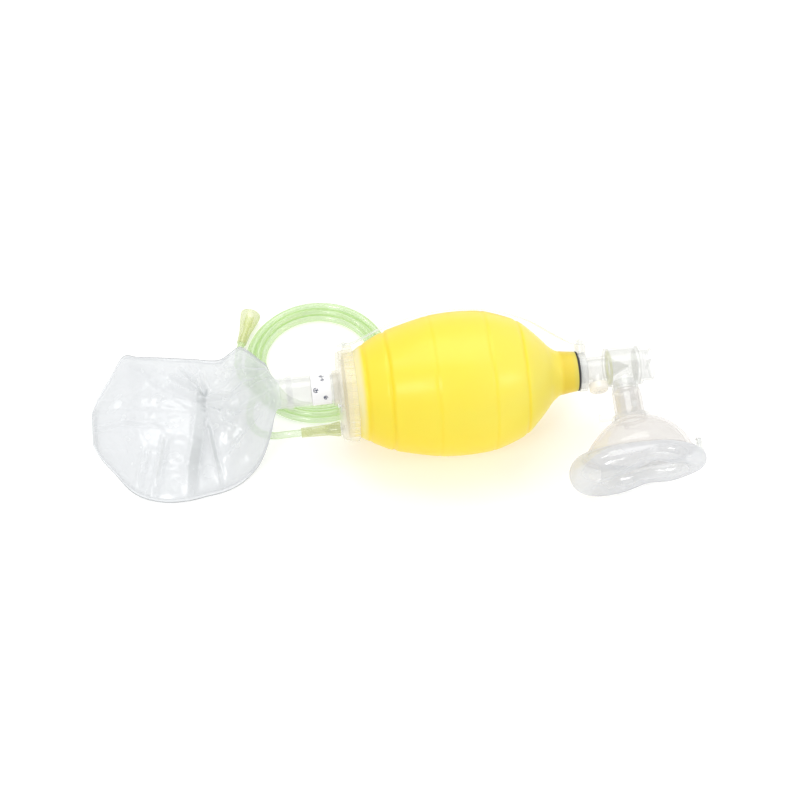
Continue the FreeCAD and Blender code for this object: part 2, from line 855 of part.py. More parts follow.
def make_valve_inlet():
    """Swivel tube from the bag, its flange, and the boss of the pressure-relief valve."""
    walls = [
        rod("inlet_tube", "inlet_radius", "inlet_back", "valve_joint - 2", axis="x"),
        rod("inlet_catch", "12.8", "inlet_back", "inlet_back + 2.2", axis="x"),
        rod("inlet_flange", "drum_radius", "valve_flange_back", "valve_joint", axis="x"),
        rod("relief_boss", "relief_radius", "-18", "0", "relief_x"),
    ]
    hollows = [
        rod("inlet_hollow", "inlet_bore", "inlet_back - 1", "valve_joint + 1", axis="x"),
        rod("relief_port", "4.2", "-13.6", "-6", "relief_x"),
        rod("relief_chamber", "6.3", "-19", "-13.2", "relief_x"),
    ]
    on_valve(pipe_piece("valve_inlet_housing", walls, hollows))


def make_relief_valve():
    """Sprung disc and stem under a vented cap."""
    disc = turned_upright(
        "relief_valve_disc",
        [
            ("0", "-13.3"),
            ("5.9", "-13.3"),
            ("5.9", "-14.5"),
            ("1.25", "-14.5"),
            ("1.25", "-23.4"),
            ("0", "-23.4"),
        ],
    )
    coil_radius = 3.4
    spring_path = doc.addObject("Part::Helix", "relief_spring_path")
    spring_path.Pitch = 1.4
    spring_path.Height = 5.2
    spring_path.Radius = coil_radius
    spring_path.SegmentLength = 1
    wire = doc.addObject("Part::Circle", "relief_spring_wire")
    wire.Radius = 0.3
    wire.Placement = FreeCAD.Placement(
        FreeCAD.Vector(coil_radius, 0, 0), FreeCAD.Rotation(X_AXIS, 90)
    )
    spring = doc.addObject("Part::Sweep", "relief_valve_spring")
    spring.Sections = [wire]
    spring.Spine = (spring_path, [])
    spring.Solid = True
    spring.Frenet = True
    finished(spring, "relief_valve_spring")
    cap = turned_upright(
        "relief_valve_cap",
        [
            ("1.35", "-22"),
            ("1.35", "-20.6"),
            ("relief_radius + 0.05", "-20.6"),
            ("relief_radius + 0.05", "-14.6"),
            ("relief_radius + 0.9", "-14.6"),
            ("relief_radius + 0.9", "-20.8"),
            ("relief_radius - 0.1", "-22"),
        ],
    )
    vent = new_sketch(cap, "XY_Plane", "-21.3")
    draw_circle(vent, "5", "0", "1.1")
    repeat_around(cap, pocket_through(cap, vent, 4), "Z_Axis", 6)
    on_valve(disc, "relief_x")
    on_valve(cap, "relief_x")
    on_valve(spring, "relief_x", "-20.15")


def make_lip_valve():
    """Silicone duckbill clamped by its flange between the valve's two halves."""
    valve = turned(
        "lip_valve",
        [
            ("valve_joint + 0.05", "inlet_bore"),
            ("valve_joint + 0.05", "15.9"),
            ("valve_joint + 1.25", "15.9"),
            ("valve_joint + 1.25", "9.8"),
            ("5", "1.6"),
            ("6.5", "1.6"),
            ("6.5", "0.6"),
            ("4.6", "0.6"),
            ("valve_joint + 1.25", "8.2"),
        ],
    )
    on_valve(valve)


def make_valve_housing():
    """Drum with the patient stub below and the exhalation seat across its front."""
    walls = [
        rod("drum", "drum_radius", "valve_joint + 0.05", "drum_front", axis="x"),
        rod("patient_stub", "stub_radius", "stub_end", "0"),
    ]
    chamber = rod("drum_hollow", "drum_radius - drum_wall", "valve_joint - 1", "11", axis="x")
    rear = rod("exhaust_hollow", "drum_radius - drum_wall", "12.4", "drum_front + 1", axis="x")
    bore = rod("stub_hollow", "stub_bore", "stub_end - 1", "0")
    groove = rod("stub_groove", "stub_bore + 0.5", "-19.6", "-18.2")
    ports = []
    for number in range(6):
        turn = math.radians(60 * number + 30)
        y = f"{10 * math.cos(turn):.3f}"
        z = f"{10 * math.sin(turn):.3f}"
        ports.append(rod("exhaust_port", "3.4", "10", "13.4", y, z, axis="x"))
    shell = doc.addObject("Part::Cut", "valve_shell")
    fused = doc.addObject("Part::MultiFuse", "valve_shell_walls")
    fused.Shapes = walls
    hollow = doc.addObject("Part::MultiFuse", "valve_shell_hollows")
    hollow.Shapes = [chamber, rear, bore, groove] + ports
    shell.Base = fused
    shell.Tool = hollow
    peg = rod("exhaust_peg", "1.5", "12.2", "16.6", axis="x")
    head = rod("exhaust_peg_head", "2.6", "15.6", "16.6", axis="x")
    on_valve(pipe_piece("valve_housing", [shell, peg, head]))


def make_exhaust():
    """Exhalation disc on its peg and the male port that carries the breath away."""
    disc = turned(
        "exhalation_valve_disc",
        [
            ("12.45", "1.65"),
            ("12.45", "14.2"),
            ("13.1", "14.2"),
            ("13.5", "5"),
            ("13.5", "1.65"),
        ],
    )
    on_valve(disc)
    port = turned(
        "exhalation_port",
        [
            ("drum_front + 0.05", "exhaust_radius - 1.8"),
            ("drum_front + 0.05", "drum_radius"),
            ("drum_front + 2.2", "drum_radius"),
            ("drum_front + 3.2", "exhaust_radius"),
            ("exhaust_end", "exhaust_radius"),
            ("exhaust_end", "exhaust_radius - 1.8"),
        ],
    )
    bar = new_sketch(port, "YZ_Plane", "exhaust_end - 3")
    draw_outline(bar, [("-14", "-0.9"), ("14", "-0.9"), ("14", "0.9"), ("-14", "0.9")])
    pad_both_ways(port, bar, "2")
    cross = new_sketch(port, "YZ_Plane", "exhaust_end - 3")
    draw_outline(cross, [("-0.9", "-14"), ("0.9", "-14"), ("0.9", "14"), ("-0.9", "14")])
    pad_both_ways(port, cross, "2")
    on_valve(port)


def make_patient_connector():
    """Swivel that snaps into the stub: 22 mm male outside, 15 mm female inside."""
    connector = turned_upright(
        "patient_connector",
        [
            ("patient_bore", "-15"),
            ("stub_bore - 0.05", "-15"),
            ("stub_bore - 0.05", "-18.4"),
            ("stub_bore + 0.4", "-18.6"),
            ("stub_bore - 0.05", "-19.5"),
            ("stub_bore - 0.05", "stub_end - 0.1"),
            ("stub_radius", "stub_end - 0.1"),
            ("stub_radius", "mask_neck_top + 0.5"),
            ("male_radius", "mask_neck_top + 0.5"),
            ("male_radius", "male_end"),
            ("patient_bore", "male_end"),
        ],
    )
    on_valve(connector)


# --------------------------------------------------------------------------------------------
# Mask
# --------------------------------------------------------------------------------------------

DOME_SECTIONS = [
    # z, half length, half width, shift towards the nose
    (-53.4, 14.6, 14.6, 0.0),
    (-57.0, 24.0, 20.0, 3.2),
    (-63.0, 33.0, 25.5, 3.4),
    (-71.0, 41.5, 30.0, 2.0),
    (-79.0, 46.8, 33.0, 0.6),
    (-86.8, 49.4, 34.6, 0.0),
]


def dome_loft(name, inset, sections):
    """Loft through flat ellipses down the mask's dome, each smaller by the inset."""
    rings = []
    for number, (z, half_length, half_width, shift) in enumerate(sections):
        ring = doc.addObject("Part::Ellipse", f"{name}_{number}")
        ring.MajorRadius = half_length - inset + 1e-3
        ring.MinorRadius = half_width - inset
        ring.Placement = FreeCAD.Placement(FreeCAD.Vector(shift, 0, z), FreeCAD.Rotation())
        rings.append(ring)
    loft = doc.addObject("Part::Loft", name)
    loft.Sections = rings
    loft.Solid = True
    return loft


def cushion_ring(name, tube):
    """Round tube swept along the ellipse that the cushion follows."""
    path = doc.addObject("Part::Ellipse", f"{name}_path")
    bind(path, MajorRadius="cushion_half_length", MinorRadius="cushion_half_width")
    section = doc.addObject("Part::Circle", f"{name}_section")
    bind(section, Radius=tube)
    section.Placement = FreeCAD.Placement(
        FreeCAD.Vector(size("cushion_half_length"), 0, 0), FreeCAD.Rotation(X_AXIS, 90)
    )
    ring = doc.addObject("Part::Sweep", name)
    ring.Sections = [section]
    ring.Spine = (path, [])
    ring.Solid = True
    ring.Frenet = True
    return ring


def make_mask():
    """Clear dome with its port neck, the cushion ring and the small parts on them."""
    neck = rod("mask_neck", "mask_neck_radius", "dome_top - 0.4", "mask_neck_top")
    upper_ring = rod("mask_upper_ring", "mask_neck_radius + 1.6", "-50", "-48.4")
    ribs = []
    for number in range(12):
        rib = doc.addObject("Part::Box", f"mask_rib_{number}")
        rib.Length = 1.0
        rib.Width = 1.4
        rib.Height = 20
        turn = FreeCAD.Rotation(Z_AXIS, 30 * number)
        corner = turn.multVec(FreeCAD.Vector(size("mask_neck_radius") - 0.3, -0.7, -48.6))
        rib.Placement = FreeCAD.Placement(corner, turn)
        ribs.append(rib)
    outside = dome_loft("dome_outside", 0.0, DOME_SECTIONS)
    lower = (DOME_SECTIONS[-1][0] - 1.0,) + DOME_SECTIONS[-1][1:]
    inner_sections = [(z - size("shell_wall"), a, b, s) for z, a, b, s in DOME_SECTIONS[:-1]]
    inside = dome_loft("dome_inside", size("shell_wall"), inner_sections + [lower])
    rim = doc.addObject("Part::Ellipse", "rim_edge")
    rim.MajorRadius = 53.0
    rim.MinorRadius = 37.0
    rim.Placement = FreeCAD.Placement(
        FreeCAD.Vector(0, 0, size("dome_base")), FreeCAD.Rotation()
    )
    flange = doc.addObject("Part::Extrusion", "rim_flange")
    flange.Base = rim
    flange.Dir = Z_AXIS
    flange.DirMode = "Custom"
    flange.LengthFwd = 1.6
    flange.Solid = True
    bore = rod("mask_bore", "male_radius + 0.05", "-58", "mask_neck_top + 1")
    shell = pipe_piece(
        "mask_shell", [neck, upper_ring, outside, flange] + ribs, [inside, bore]
    )
    on_valve(shell)

    hooks = turned_upright(
        "mask_hook_ring",
        [
            ("mask_neck_radius + 0.1", "-52.8"),
            ("mask_neck_radius + 0.1", "-50.1"),
            ("17.6", "-50.1"),
            ("17.6", "-52"),
            ("16.4", "-52.8"),
        ],
    )
    arm = new_sketch(hooks, "XZ_Plane")
    draw_outline(
        arm,
        [
            ("16.5", "-51.8"),
            ("28.6", "-51.2"),
            ("28.6", "-45.4"),
            ("27", "-45.4"),
            ("26.6", "-49.6"),
            ("16.5", "-50.2"),
        ],
    )
    repeat_around(hooks, pad_both_ways(hooks, arm, "4"), "Z_Axis", 4)
    on_valve(hooks)

    cushion = doc.addObject("Part::Cut", "mask_cushion")
    cushion.Base = cushion_ring("cushion_outside", "cushion_tube")
    cushion.Tool = cushion_ring("cushion_air", "cushion_tube - cushion_wall")
    finished(cushion, "mask_cushion")
    tube = turned_upright(
        "mask_inflation_tube",
        [("1.6", "-92"), ("3", "-92"), ("3", "-84"), ("2.6", "-78.5"), ("1.6", "-78.5")],
    )
    plug = turned_upright(
        "mask_inflation_plug",
        [
            ("0", "-83"),
            ("1.55", "-83"),
            ("1.55", "-78.4"),
            ("3", "-78.4"),
            ("2.4", "-76.6"),
            ("0", "-76.6"),
        ],
    )
    on_valve(cushion, "0", "cushion_centre")
    for piece in (tube, plug):
        on_valve(piece, "58")


make_compression_bag()
make_rear_end()
make_rear_cover()
side_valve("air_inlet_valve", "side_valve_reach", 1)
side_valve("overflow_valve", "- side_valve_reach", -1)
make_reservoir_connector()
make_oxygen_nipple()
make_front_end()
make_hand_strap()
strap_pegs("rear_strap_pegs", "-5.6", "ring_radius + 2.6")
strap_pegs("front_strap_pegs", "210.2", "24.6")
make_reservoir_bag()
make_tubing()
make_valve_inlet()
make_relief_valve()
make_lip_valve()
make_valve_housing()
make_exhaust()
make_patient_connector()
make_mask()
doc.recompute()

for thing in doc.Objects:
    if "Invalid" in thing.State or "Error" in thing.State:
        raise RuntimeError(f"{thing.Label} did not build: {thing.State}")
for piece in pieces:
    if piece.Shape.isNull() or not piece.Shape.isValid() or not piece.Shape.Solids:
        raise RuntimeError(f"{piece.Label} has no valid solid")

os.makedirs("parts", exist_ok=True)
for piece in pieces:
    piece.Shape.exportStep(f"parts/{piece.Label}.step")
print(f"{len(pieces)} sub-parts written")
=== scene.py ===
import json
import math

import bmesh
import bpy
from mathutils import Matrix, Vector, noise


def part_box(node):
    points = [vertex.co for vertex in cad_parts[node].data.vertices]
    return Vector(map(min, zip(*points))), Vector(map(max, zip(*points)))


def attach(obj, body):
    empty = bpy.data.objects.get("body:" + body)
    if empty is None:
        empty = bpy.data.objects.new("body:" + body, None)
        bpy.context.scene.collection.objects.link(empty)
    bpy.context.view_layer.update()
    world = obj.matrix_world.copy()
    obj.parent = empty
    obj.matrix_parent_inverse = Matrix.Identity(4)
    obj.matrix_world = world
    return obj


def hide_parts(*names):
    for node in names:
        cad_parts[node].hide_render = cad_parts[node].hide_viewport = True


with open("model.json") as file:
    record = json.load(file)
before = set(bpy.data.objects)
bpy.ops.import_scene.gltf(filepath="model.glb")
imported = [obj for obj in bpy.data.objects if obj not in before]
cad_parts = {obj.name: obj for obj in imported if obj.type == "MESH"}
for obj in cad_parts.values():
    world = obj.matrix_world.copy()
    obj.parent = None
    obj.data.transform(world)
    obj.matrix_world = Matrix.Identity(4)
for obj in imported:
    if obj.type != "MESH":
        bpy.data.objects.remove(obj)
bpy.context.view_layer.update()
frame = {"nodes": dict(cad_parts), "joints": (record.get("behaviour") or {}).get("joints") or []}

# A bag valve mask lying on a table. Lengths are millimetres in two local frames.
# bag_point: x along the compression bag from its rear rim, y across it, z up from the table.
# valve_point: origin where the patient port crosses the bag's axis, x along the bag, and
# -z towards the mask.

MM = 0.001
OFF_TABLE = 0.0001  # gap left under what lies on the table, in metres
nodes = frame["nodes"]
joints = {joint["name"]: joint for joint in frame["joints"]}

RING_LOW, RING_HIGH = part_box("neck_o_ring")
BAG_LOW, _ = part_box("compression_bag")
AXIS_Y = (RING_LOW.y + RING_HIGH.y) / 2
AXIS_Z = (RING_LOW.z + RING_HIGH.z) / 2
LIP_BACK = -8.8  # how far the bag's lip reaches back past its rear rim
REAR_RIM = BAG_LOW.x - LIP_BACK * MM
VALVE_ORIGIN = Vector(joints["valve_swivel"]["pos_m"])
TO_MASK = Vector(joints["mask_pull_off"]["axis"]).normalized()
VALVE_TURN = Matrix.Rotation(math.atan2(-TO_MASK.z, -TO_MASK.y) - math.pi / 2, 3, "X")


def mm(*values):
    """Millimetres as a vector in metres."""
    return Vector(values) * MM


def bag_point(x, y, z):
    """A point given along and across the bag and up from the table."""
    return Vector((REAR_RIM + x * MM, AXIS_Y + y * MM, z * MM))


def valve_point(x, y, z):
    """A point drawn upright in the valve, laid over as the mask lies."""
    return VALVE_ORIGIN + VALVE_TURN @ mm(x, y, z)


def smooth(t):
    """Runs from 0 to 1 with no corner at either end."""
    t = min(max(t, 0.0), 1.0)
    return t * t * (3 - 2 * t)


def curve_through(stations, x):
    """Row of numbers at x on a smooth curve through rows sorted by their first number."""
    rows = sorted(stations)
    x = min(max(x, rows[0][0]), rows[-1][0])
    k = max(i for i in range(len(rows) - 1) if rows[i][0] <= x)
    around = range(k - 1, k + 3)
    before, start, end, after = (rows[min(max(i, 0), len(rows) - 1)] for i in around)
    span = end[0] - start[0]
    t = (x - start[0]) / span
    found = []
    for a, b, c, d in zip(before[1:], start[1:], end[1:], after[1:]):
        leave = (c - a) / max(end[0] - before[0], 1e-9) * span
        arrive = (d - b) / max(after[0] - start[0], 1e-9) * span
        found.append(
            (2 * t**3 - 3 * t**2 + 1) * b
            + (t**3 - 2 * t**2 + t) * leave
            + (3 * t**2 - 2 * t**3) * c
            + (t**3 - t**2) * arrive
        )
    return found


# ---------------------------------------------------------------- camera, light and floor


def make_camera():
    """The camera looks down on the table from the mask's side of the bag."""
    elevation = math.radians(55.0)
    azimuth = math.radians(-7.27)
    distance = 1.723
    back = Vector(
        (
            math.sin(azimuth) * math.cos(elevation),
            -math.cos(azimuth) * math.cos(elevation),
            math.sin(elevation),
        )
    )
    aim = Vector((REAR_RIM, AXIS_Y, AXIS_Z)) + mm(39.9, -11.5, 0)
    camera = bpy.data.objects.new("camera", bpy.data.cameras.new("camera"))
    camera.data.lens = 85.0
    camera.data.sensor_width = 36.0
    camera.location = aim + back * distance
    camera.rotation_euler = (math.pi / 2 - elevation, 0.0, azimuth)
    camera.data.clip_end = 50.0
    bpy.context.scene.collection.objects.link(camera)
    bpy.context.scene.camera = camera


def area_light(name, place, aim, width, power):
    """A square soft light at a place, turned towards a point."""
    light = bpy.data.objects.new(name, bpy.data.lights.new(name, "AREA"))
    light.data.shape = "SQUARE"
    light.data.size = width
    light.data.energy = power
    light.location = place
    light.rotation_euler = (Vector(aim) - Vector(place)).to_track_quat("-Z", "Y").to_euler()
    bpy.context.scene.collection.objects.link(light)


def make_studio():
    """White surroundings, a white table and soft boxes above and to both sides."""
    scene = bpy.context.scene
    scene.view_settings.view_transform = "Standard"
    world = bpy.data.worlds.new("studio")
    scene.world = world
    world.use_nodes = True
    background = world.node_tree.nodes["Background"]
    background.inputs["Color"].default_value = (1.0, 1.0, 1.0, 1)
    background.inputs["Strength"].default_value = 0.70
    for name, place, aim, width, power in (
        ("overhead", (0.1, 0.7, 1.9), (0, 0, 0), 1.6, 14),
        ("left_box", (-0.78, -1.05, 1.6), (0.0, 0, 0.05), 0.45, 7.0),
        ("right_box", (1.4, -0.83, 1.25), (0.08, 0, 0.05), 0.40, 4.0),
        ("sparkle", (-0.75, 0.45, 1.5), (-0.15, 0.02, 0.0), 0.2, 1.6),
    ):
        area_light(name, place, aim, width, power)
    floor = bpy.data.objects.new("table", bpy.data.meshes.new("table"))
    reach = 4.0
    corners = [(-reach, -reach, 0), (reach, -reach, 0), (reach, reach, 0), (-reach, reach, 0)]
    floor.data.from_pydata(corners, [], [(0, 1, 2, 3)])
    floor.location.z = -0.0004
    scene.collection.objects.link(floor)
    paint = Nodes("table_white")
    paint.shader.inputs["Base Color"].default_value = (0.80, 0.80, 0.795, 1)
    paint.shader.inputs["Emission Color"].default_value = (1.0, 1.0, 0.995, 1)
    paint.shader.inputs["Emission Strength"].default_value = 0.30
    paint.shader.inputs["Roughness"].default_value = 0.9
    paint.shader.inputs["Specular IOR Level"].default_value = 0.1
    floor.data.materials.append(paint.material)


# ---------------------------------------------------------------- materials


class Nodes:
    """A material being built: short ways to add and join its shader nodes."""

    def __init__(self, name):
        self.material = bpy.data.materials.new(name)
        self.material.use_nodes = True
        self.tree = self.material.node_tree
        self.shader = self.tree.nodes["Principled BSDF"]
        self.output = self.tree.nodes["Material Output"]

    def add(self, kind, **inputs):
        """A new node, with its named inputs set or joined."""
        node = self.tree.nodes.new(kind)
        for name, value in inputs.items():
            self.set(node, name.replace("_", " "), value)
        return node

    def set(self, node, name, value):
        """Joins a socket to an input, or gives the input a plain value."""
        socket = node.inputs[name]
        if isinstance(value, bpy.types.NodeSocket):
            self.tree.links.new(value, socket)
        else:
            socket.default_value = value

    def places(self):
        """Object coordinates in metres."""
        return self.add("ShaderNodeTexCoord").outputs["Object"]

    def noise(self, scale, detail=3.0):
        """A cloudy pattern; scale counts its lumps in a metre."""
        node = self.add("ShaderNodeTexNoise", Vector=self.places(), Scale=scale, Detail=detail)
        return node.outputs["Fac"]

    def combine(self, operation, first, second):
        """A sum, product or comparison of two values, either of them a socket or a number."""
        node = self.add("ShaderNodeMath")
        node.operation = operation
        for socket, value in zip(node.inputs, (first, second)):
            if isinstance(value, bpy.types.NodeSocket):
                self.tree.links.new(value, socket)
            else:
                socket.default_value = value
        return node.outputs["Value"]

    def ramp(self, value, *stops):
        """Colours along a value: pairs of a position and a colour."""
        node = self.add("ShaderNodeValToRGB", Fac=value)
        elements = node.color_ramp.elements
        while len(elements) < len(stops):
            elements.new(0.5)
        for element, (position, colour) in zip(elements, stops):
            element.position = position
            element.color = (*colour, 1)
        return node.outputs["Color"]

    def greys(self, value, *stops):
        """Plain amounts along a value: pairs of a position and a number."""
        return self.ramp(value, *((position, (amount,) * 3) for position, amount in stops))

    def between(self, value, low, high):
        """The value, spread from low to high."""
        node = self.add("ShaderNodeMapRange", Value=value, To_Min=low, To_Max=high)
        return node.outputs["Result"]

    def bump(self, value, depth, strength=1.0):
        """A normal roughened by a pattern that is depth metres high."""
        node = self.add("ShaderNodeBump", Height=value, Distance=depth, Strength=strength)
        return node.outputs["Normal"]

    def multiply(self, first, second):
        """One colour darkened by another."""
        node = self.add("ShaderNodeMix")
        node.data_type = "RGBA"
        node.blend_type = "MULTIPLY"
        node.inputs["Factor"].default_value = 1.0
        self.tree.links.new(first, node.inputs["A"])
        self.tree.links.new(second, node.inputs["B"])
        return node.outputs["Result"]

    def mix(self, fac, first, second):
        """One shader over another."""
        node = self.add("ShaderNodeMixShader", Fac=fac)
        self.tree.links.new(first, node.inputs[1])
        self.tree.links.new(second, node.inputs[2])
        return node.outputs["Shader"]

    def show(self, shader):
        """The finished material, with a shader as its surface."""
        self.tree.links.new(shader, self.output.inputs["Surface"])
        return self.material


def see_through(n, colour, haze, roughness, normal, shine=0.05, glow=0.22):
    """Clear stuff: a thin haze that scatters light inside it, brightened by a painted glow, and
    gloss that grows at its edges.
    """
    facing = n.add("ShaderNodeLayerWeight", Blend=0.5, Normal=normal).outputs["Facing"]
    lit = n.add("ShaderNodeBsdfDiffuse", Color=colour, Normal=normal).outputs["BSDF"]
    # Painted glow: the haze gives off light of its own colour, so clear parts look brighter than
    # their lighting makes them.
    painted_glow = n.add("ShaderNodeEmission", Color=colour, Strength=glow).outputs["Emission"]
    body = n.add("ShaderNodeAddShader")
    n.tree.links.new(lit, body.inputs[0])
    n.tree.links.new(painted_glow, body.inputs[1])
    clear = n.add("ShaderNodeBsdfTransparent").outputs["BSDF"]
    gloss = n.add("ShaderNodeBsdfGlossy", Roughness=roughness, Normal=normal).outputs["BSDF"]
    share = n.greys(facing, (0.0, shine), (0.6, shine * 1.4), (0.88, 0.13), (1.0, 0.34))
    return n.show(n.mix(share, n.mix(haze, clear, body.outputs["Shader"]), gloss))


def clear_plastic(name, light, dark, body=0.10, edge_body=0.42, lumps=0.0002, shine=0.05):
    """Clear moulded plastic: see-through face on, hazier where the wall is seen edge on."""
    n = Nodes(name)
    facing = n.add("ShaderNodeLayerWeight", Blend=0.5).outputs["Facing"]
    colour = n.ramp(n.noise(30.0, 3.0), (0.3, light), (0.75, dark))
    haze = n.greys(facing, (0.0, body), (0.6, body * 1.3), (1.0, edge_body))
    clouded = n.combine("MULTIPLY", haze, n.between(n.noise(35.0, 3.0), 0.75, 1.25))
    roughness = n.between(n.noise(60.0, 2.0), 0.07, 0.16)
    normal = n.bump(n.noise(150.0, 2.0), lumps, 0.5)
    return see_through(n, colour, clouded, roughness, normal, shine)


def yellow_silicone():
    """The bag's yellow silicone: deeper at the rear, amber at the thin neck, with painted shade
    underneath and beside its ridges, and a faint painted glow.
    """
    n = Nodes("bag_yellow")
    plain = (1, 1, 1)
    split = n.add("ShaderNodeSeparateXYZ", Vector=n.places())
    along, _, up = split.outputs
    rear, front = REAR_RIM - 0.002, REAR_RIM + 0.208
    place = n.add("ShaderNodeMapRange", Value=along, From_Min=rear, From_Max=front)
    lengthways = n.ramp(
        place.outputs["Result"],
        (0.0, (0.88, 0.78, 0.45)),
        (0.03, (0.88, 0.78, 0.45)),
        (0.05, (0.93, 0.72, 0.055)),
        (0.45, (0.94, 0.75, 0.075)),
        (0.80, (0.95, 0.78, 0.115)),
        (0.90, (0.93, 0.76, 0.130)),
        (0.92, (0.80, 0.61, 0.080)),
        (0.96, (0.82, 0.64, 0.100)),
        (1.0, (0.68, 0.63, 0.220)),
    )
    # Painted shade: the bag's lower part is made a deeper, darker yellow, as its underside lies in
    # shade.
    lifted = n.add("ShaderNodeMapRange", Value=up, From_Min=0.0, From_Max=2 * AXIS_Z)
    painted_underside_shade = n.ramp(
        lifted.outputs["Result"],
        (0.0, (0.99, 0.86, 0.10)),
        (0.38, (1.0, 0.92, 0.30)),
        (0.75, plain),
    )
    # Painted shade: a narrow, deeper and darker yellow line beside each moulded ridge, where its
    # groove lies in shade; thick is the colour of that painted line.
    lines = []
    for x, deep in ((10.5, 0.5), (31.0, 0.85), (72.0, 0.35), (122.5, 0.4), (153.0, 0.85)):
        spot = (x + 2) / 210
        thick = (1.0, 1.0 - 0.06 * deep, 1.0 - 0.60 * deep)
        lines += [(spot - 0.014, plain), (spot, thick)]
        lines += [(spot + 0.005, thick), (spot + 0.012, plain)]
    ridges = n.ramp(place.outputs["Result"], (0.0, plain), *lines, (1.0, plain))
    tint_and_painted_shade = n.multiply(n.multiply(lengthways, painted_underside_shade), ridges)
    cloudy = n.add("ShaderNodeHueSaturation", Color=tint_and_painted_shade)
    n.tree.links.new(n.between(n.noise(16.0, 4.0), 0.96, 1.04), cloudy.inputs["Value"])
    n.set(n.shader, "Base Color", cloudy.outputs["Color"])
    # Painted glow: the bag gives off a little light of its own colour, brightening it all over.
    n.set(n.shader, "Emission Color", cloudy.outputs["Color"])
    n.shader.inputs["Emission Strength"].default_value = 0.05
    n.set(n.shader, "Roughness", n.between(n.noise(40.0, 2.0), 0.27, 0.38))
    n.shader.inputs["Specular IOR Level"].default_value = 0.36
    n.shader.inputs["Subsurface Weight"].default_value = 0.3
    n.shader.inputs["Subsurface Radius"].default_value = (0.012, 0.008, 0.002)
    n.shader.inputs["Subsurface Scale"].default_value = 1.0
    n.set(n.shader, "Normal", n.bump(n.noise(55.0, 3.0), 0.0005, 0.3))
    return n.material


def film_material():
    """Thin clear film: milky, and greyer at folds and where layers meet."""
    n = Nodes("reservoir_film")
    layers = n.add("ShaderNodeAttribute")
    layers.attribute_name = "layers"
    colour = n.ramp(layers.outputs["Fac"], (0.0, (0.68, 0.70, 0.72)), (1.0, (0.47, 0.49, 0.495)))
    normal = n.bump(n.noise(45.0, 3.0), 0.0010, 0.35)
    facing = n.add("ShaderNodeLayerWeight", Blend=0.5, Normal=normal).outputs["Facing"]
    edge = n.greys(facing, (0.0, 0.0), (0.45, 0.04), (1.0, 0.26))
    haze = n.combine("ADD", edge, n.between(layers.outputs["Fac"], 0.36, 0.90))
    roughness = n.between(n.noise(50.0, 3.0), 0.16, 0.34)
    return see_through(n, colour, haze, roughness, normal, 0.07, 0.14)


def green_tubing():
    """Pale green clear tubing."""
    n = Nodes("tubing_green")
    facing = n.add("ShaderNodeLayerWeight", Blend=0.5).outputs["Facing"]
    colour = n.ramp(n.noise(25.0, 2.0), (0.3, (0.56, 0.77, 0.34)), (0.7, (0.50, 0.71, 0.29)))
    haze = n.greys(facing, (0.0, 0.20), (0.4, 0.28), (0.8, 0.62), (1.0, 0.85))
    clouded = n.combine("MULTIPLY", haze, n.between(n.noise(45.0, 2.0), 0.85, 1.15))
    roughness = n.between(n.noise(70.0, 2.0), 0.08, 0.16)
    normal = n.bump(n.noise(120.0, 2.0), 0.0002, 0.3)
    return see_through(n, colour, clouded, roughness, normal, 0.07, 0.2)


def lip_silicone():
    """The lip valve: yellow-green where its flange shows at the joint, milky inside."""
    n = Nodes("lip_silicone")
    along = n.add("ShaderNodeSeparateXYZ", Vector=n.places()).outputs[0]
    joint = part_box("lip_valve")[0].x
    place = n.add("ShaderNodeMapRange", Value=along, From_Min=joint, From_Max=joint + 0.004)
    colour = n.ramp(place.outputs["Result"], (0.2, (0.60, 0.62, 0.20)), (0.6, (0.72, 0.73, 0.66)))
    haze = n.greys(place.outputs["Result"], (0.2, 0.55), (0.6, 0.22))
    roughness = n.between(n.noise(90.0, 2.0), 0.3, 0.45)
    return see_through(n, colour, haze, roughness, n.bump(n.noise(200.0, 2.0), 0.0001, 0.3))


def rubber(name, low, high, roughness=0.45):
    """Rubber or silicone with a fine skin."""
    n = Nodes(name)
    n.set(n.shader, "Base Color", n.ramp(n.noise(90.0, 4.0), (0.3, low), (0.7, high)))
    n.set(n.shader, "Roughness", n.between(n.noise(150.0, 2.0), roughness - 0.08, roughness + 0.08))
    n.set(n.shader, "Normal", n.bump(n.noise(400.0, 2.0), 0.0001, 0.4))
    return n.material


def steel():
    """Drawn spring wire with faint draw marks."""
    n = Nodes("spring_steel")
    wire = n.ramp(n.noise(300.0, 3.0), (0.3, (0.48, 0.48, 0.50)), (0.7, (0.66, 0.66, 0.68)))
    n.set(n.shader, "Base Color", wire)
    n.shader.inputs["Metallic"].default_value = 1.0
    n.set(n.shader, "Roughness", n.between(n.noise(500.0, 2.0), 0.2, 0.34))
    return n.material


MARK_CLUSTERS = [
    # place along the label, turn round the tube in degrees, and radius of each cluster
    (-5.2, 2.0, 2.4),
    (1.2, -58.0, 2.2),
    (1.6, -38.0, 1.7),
    (3.4, 34.0, 2.2),
]


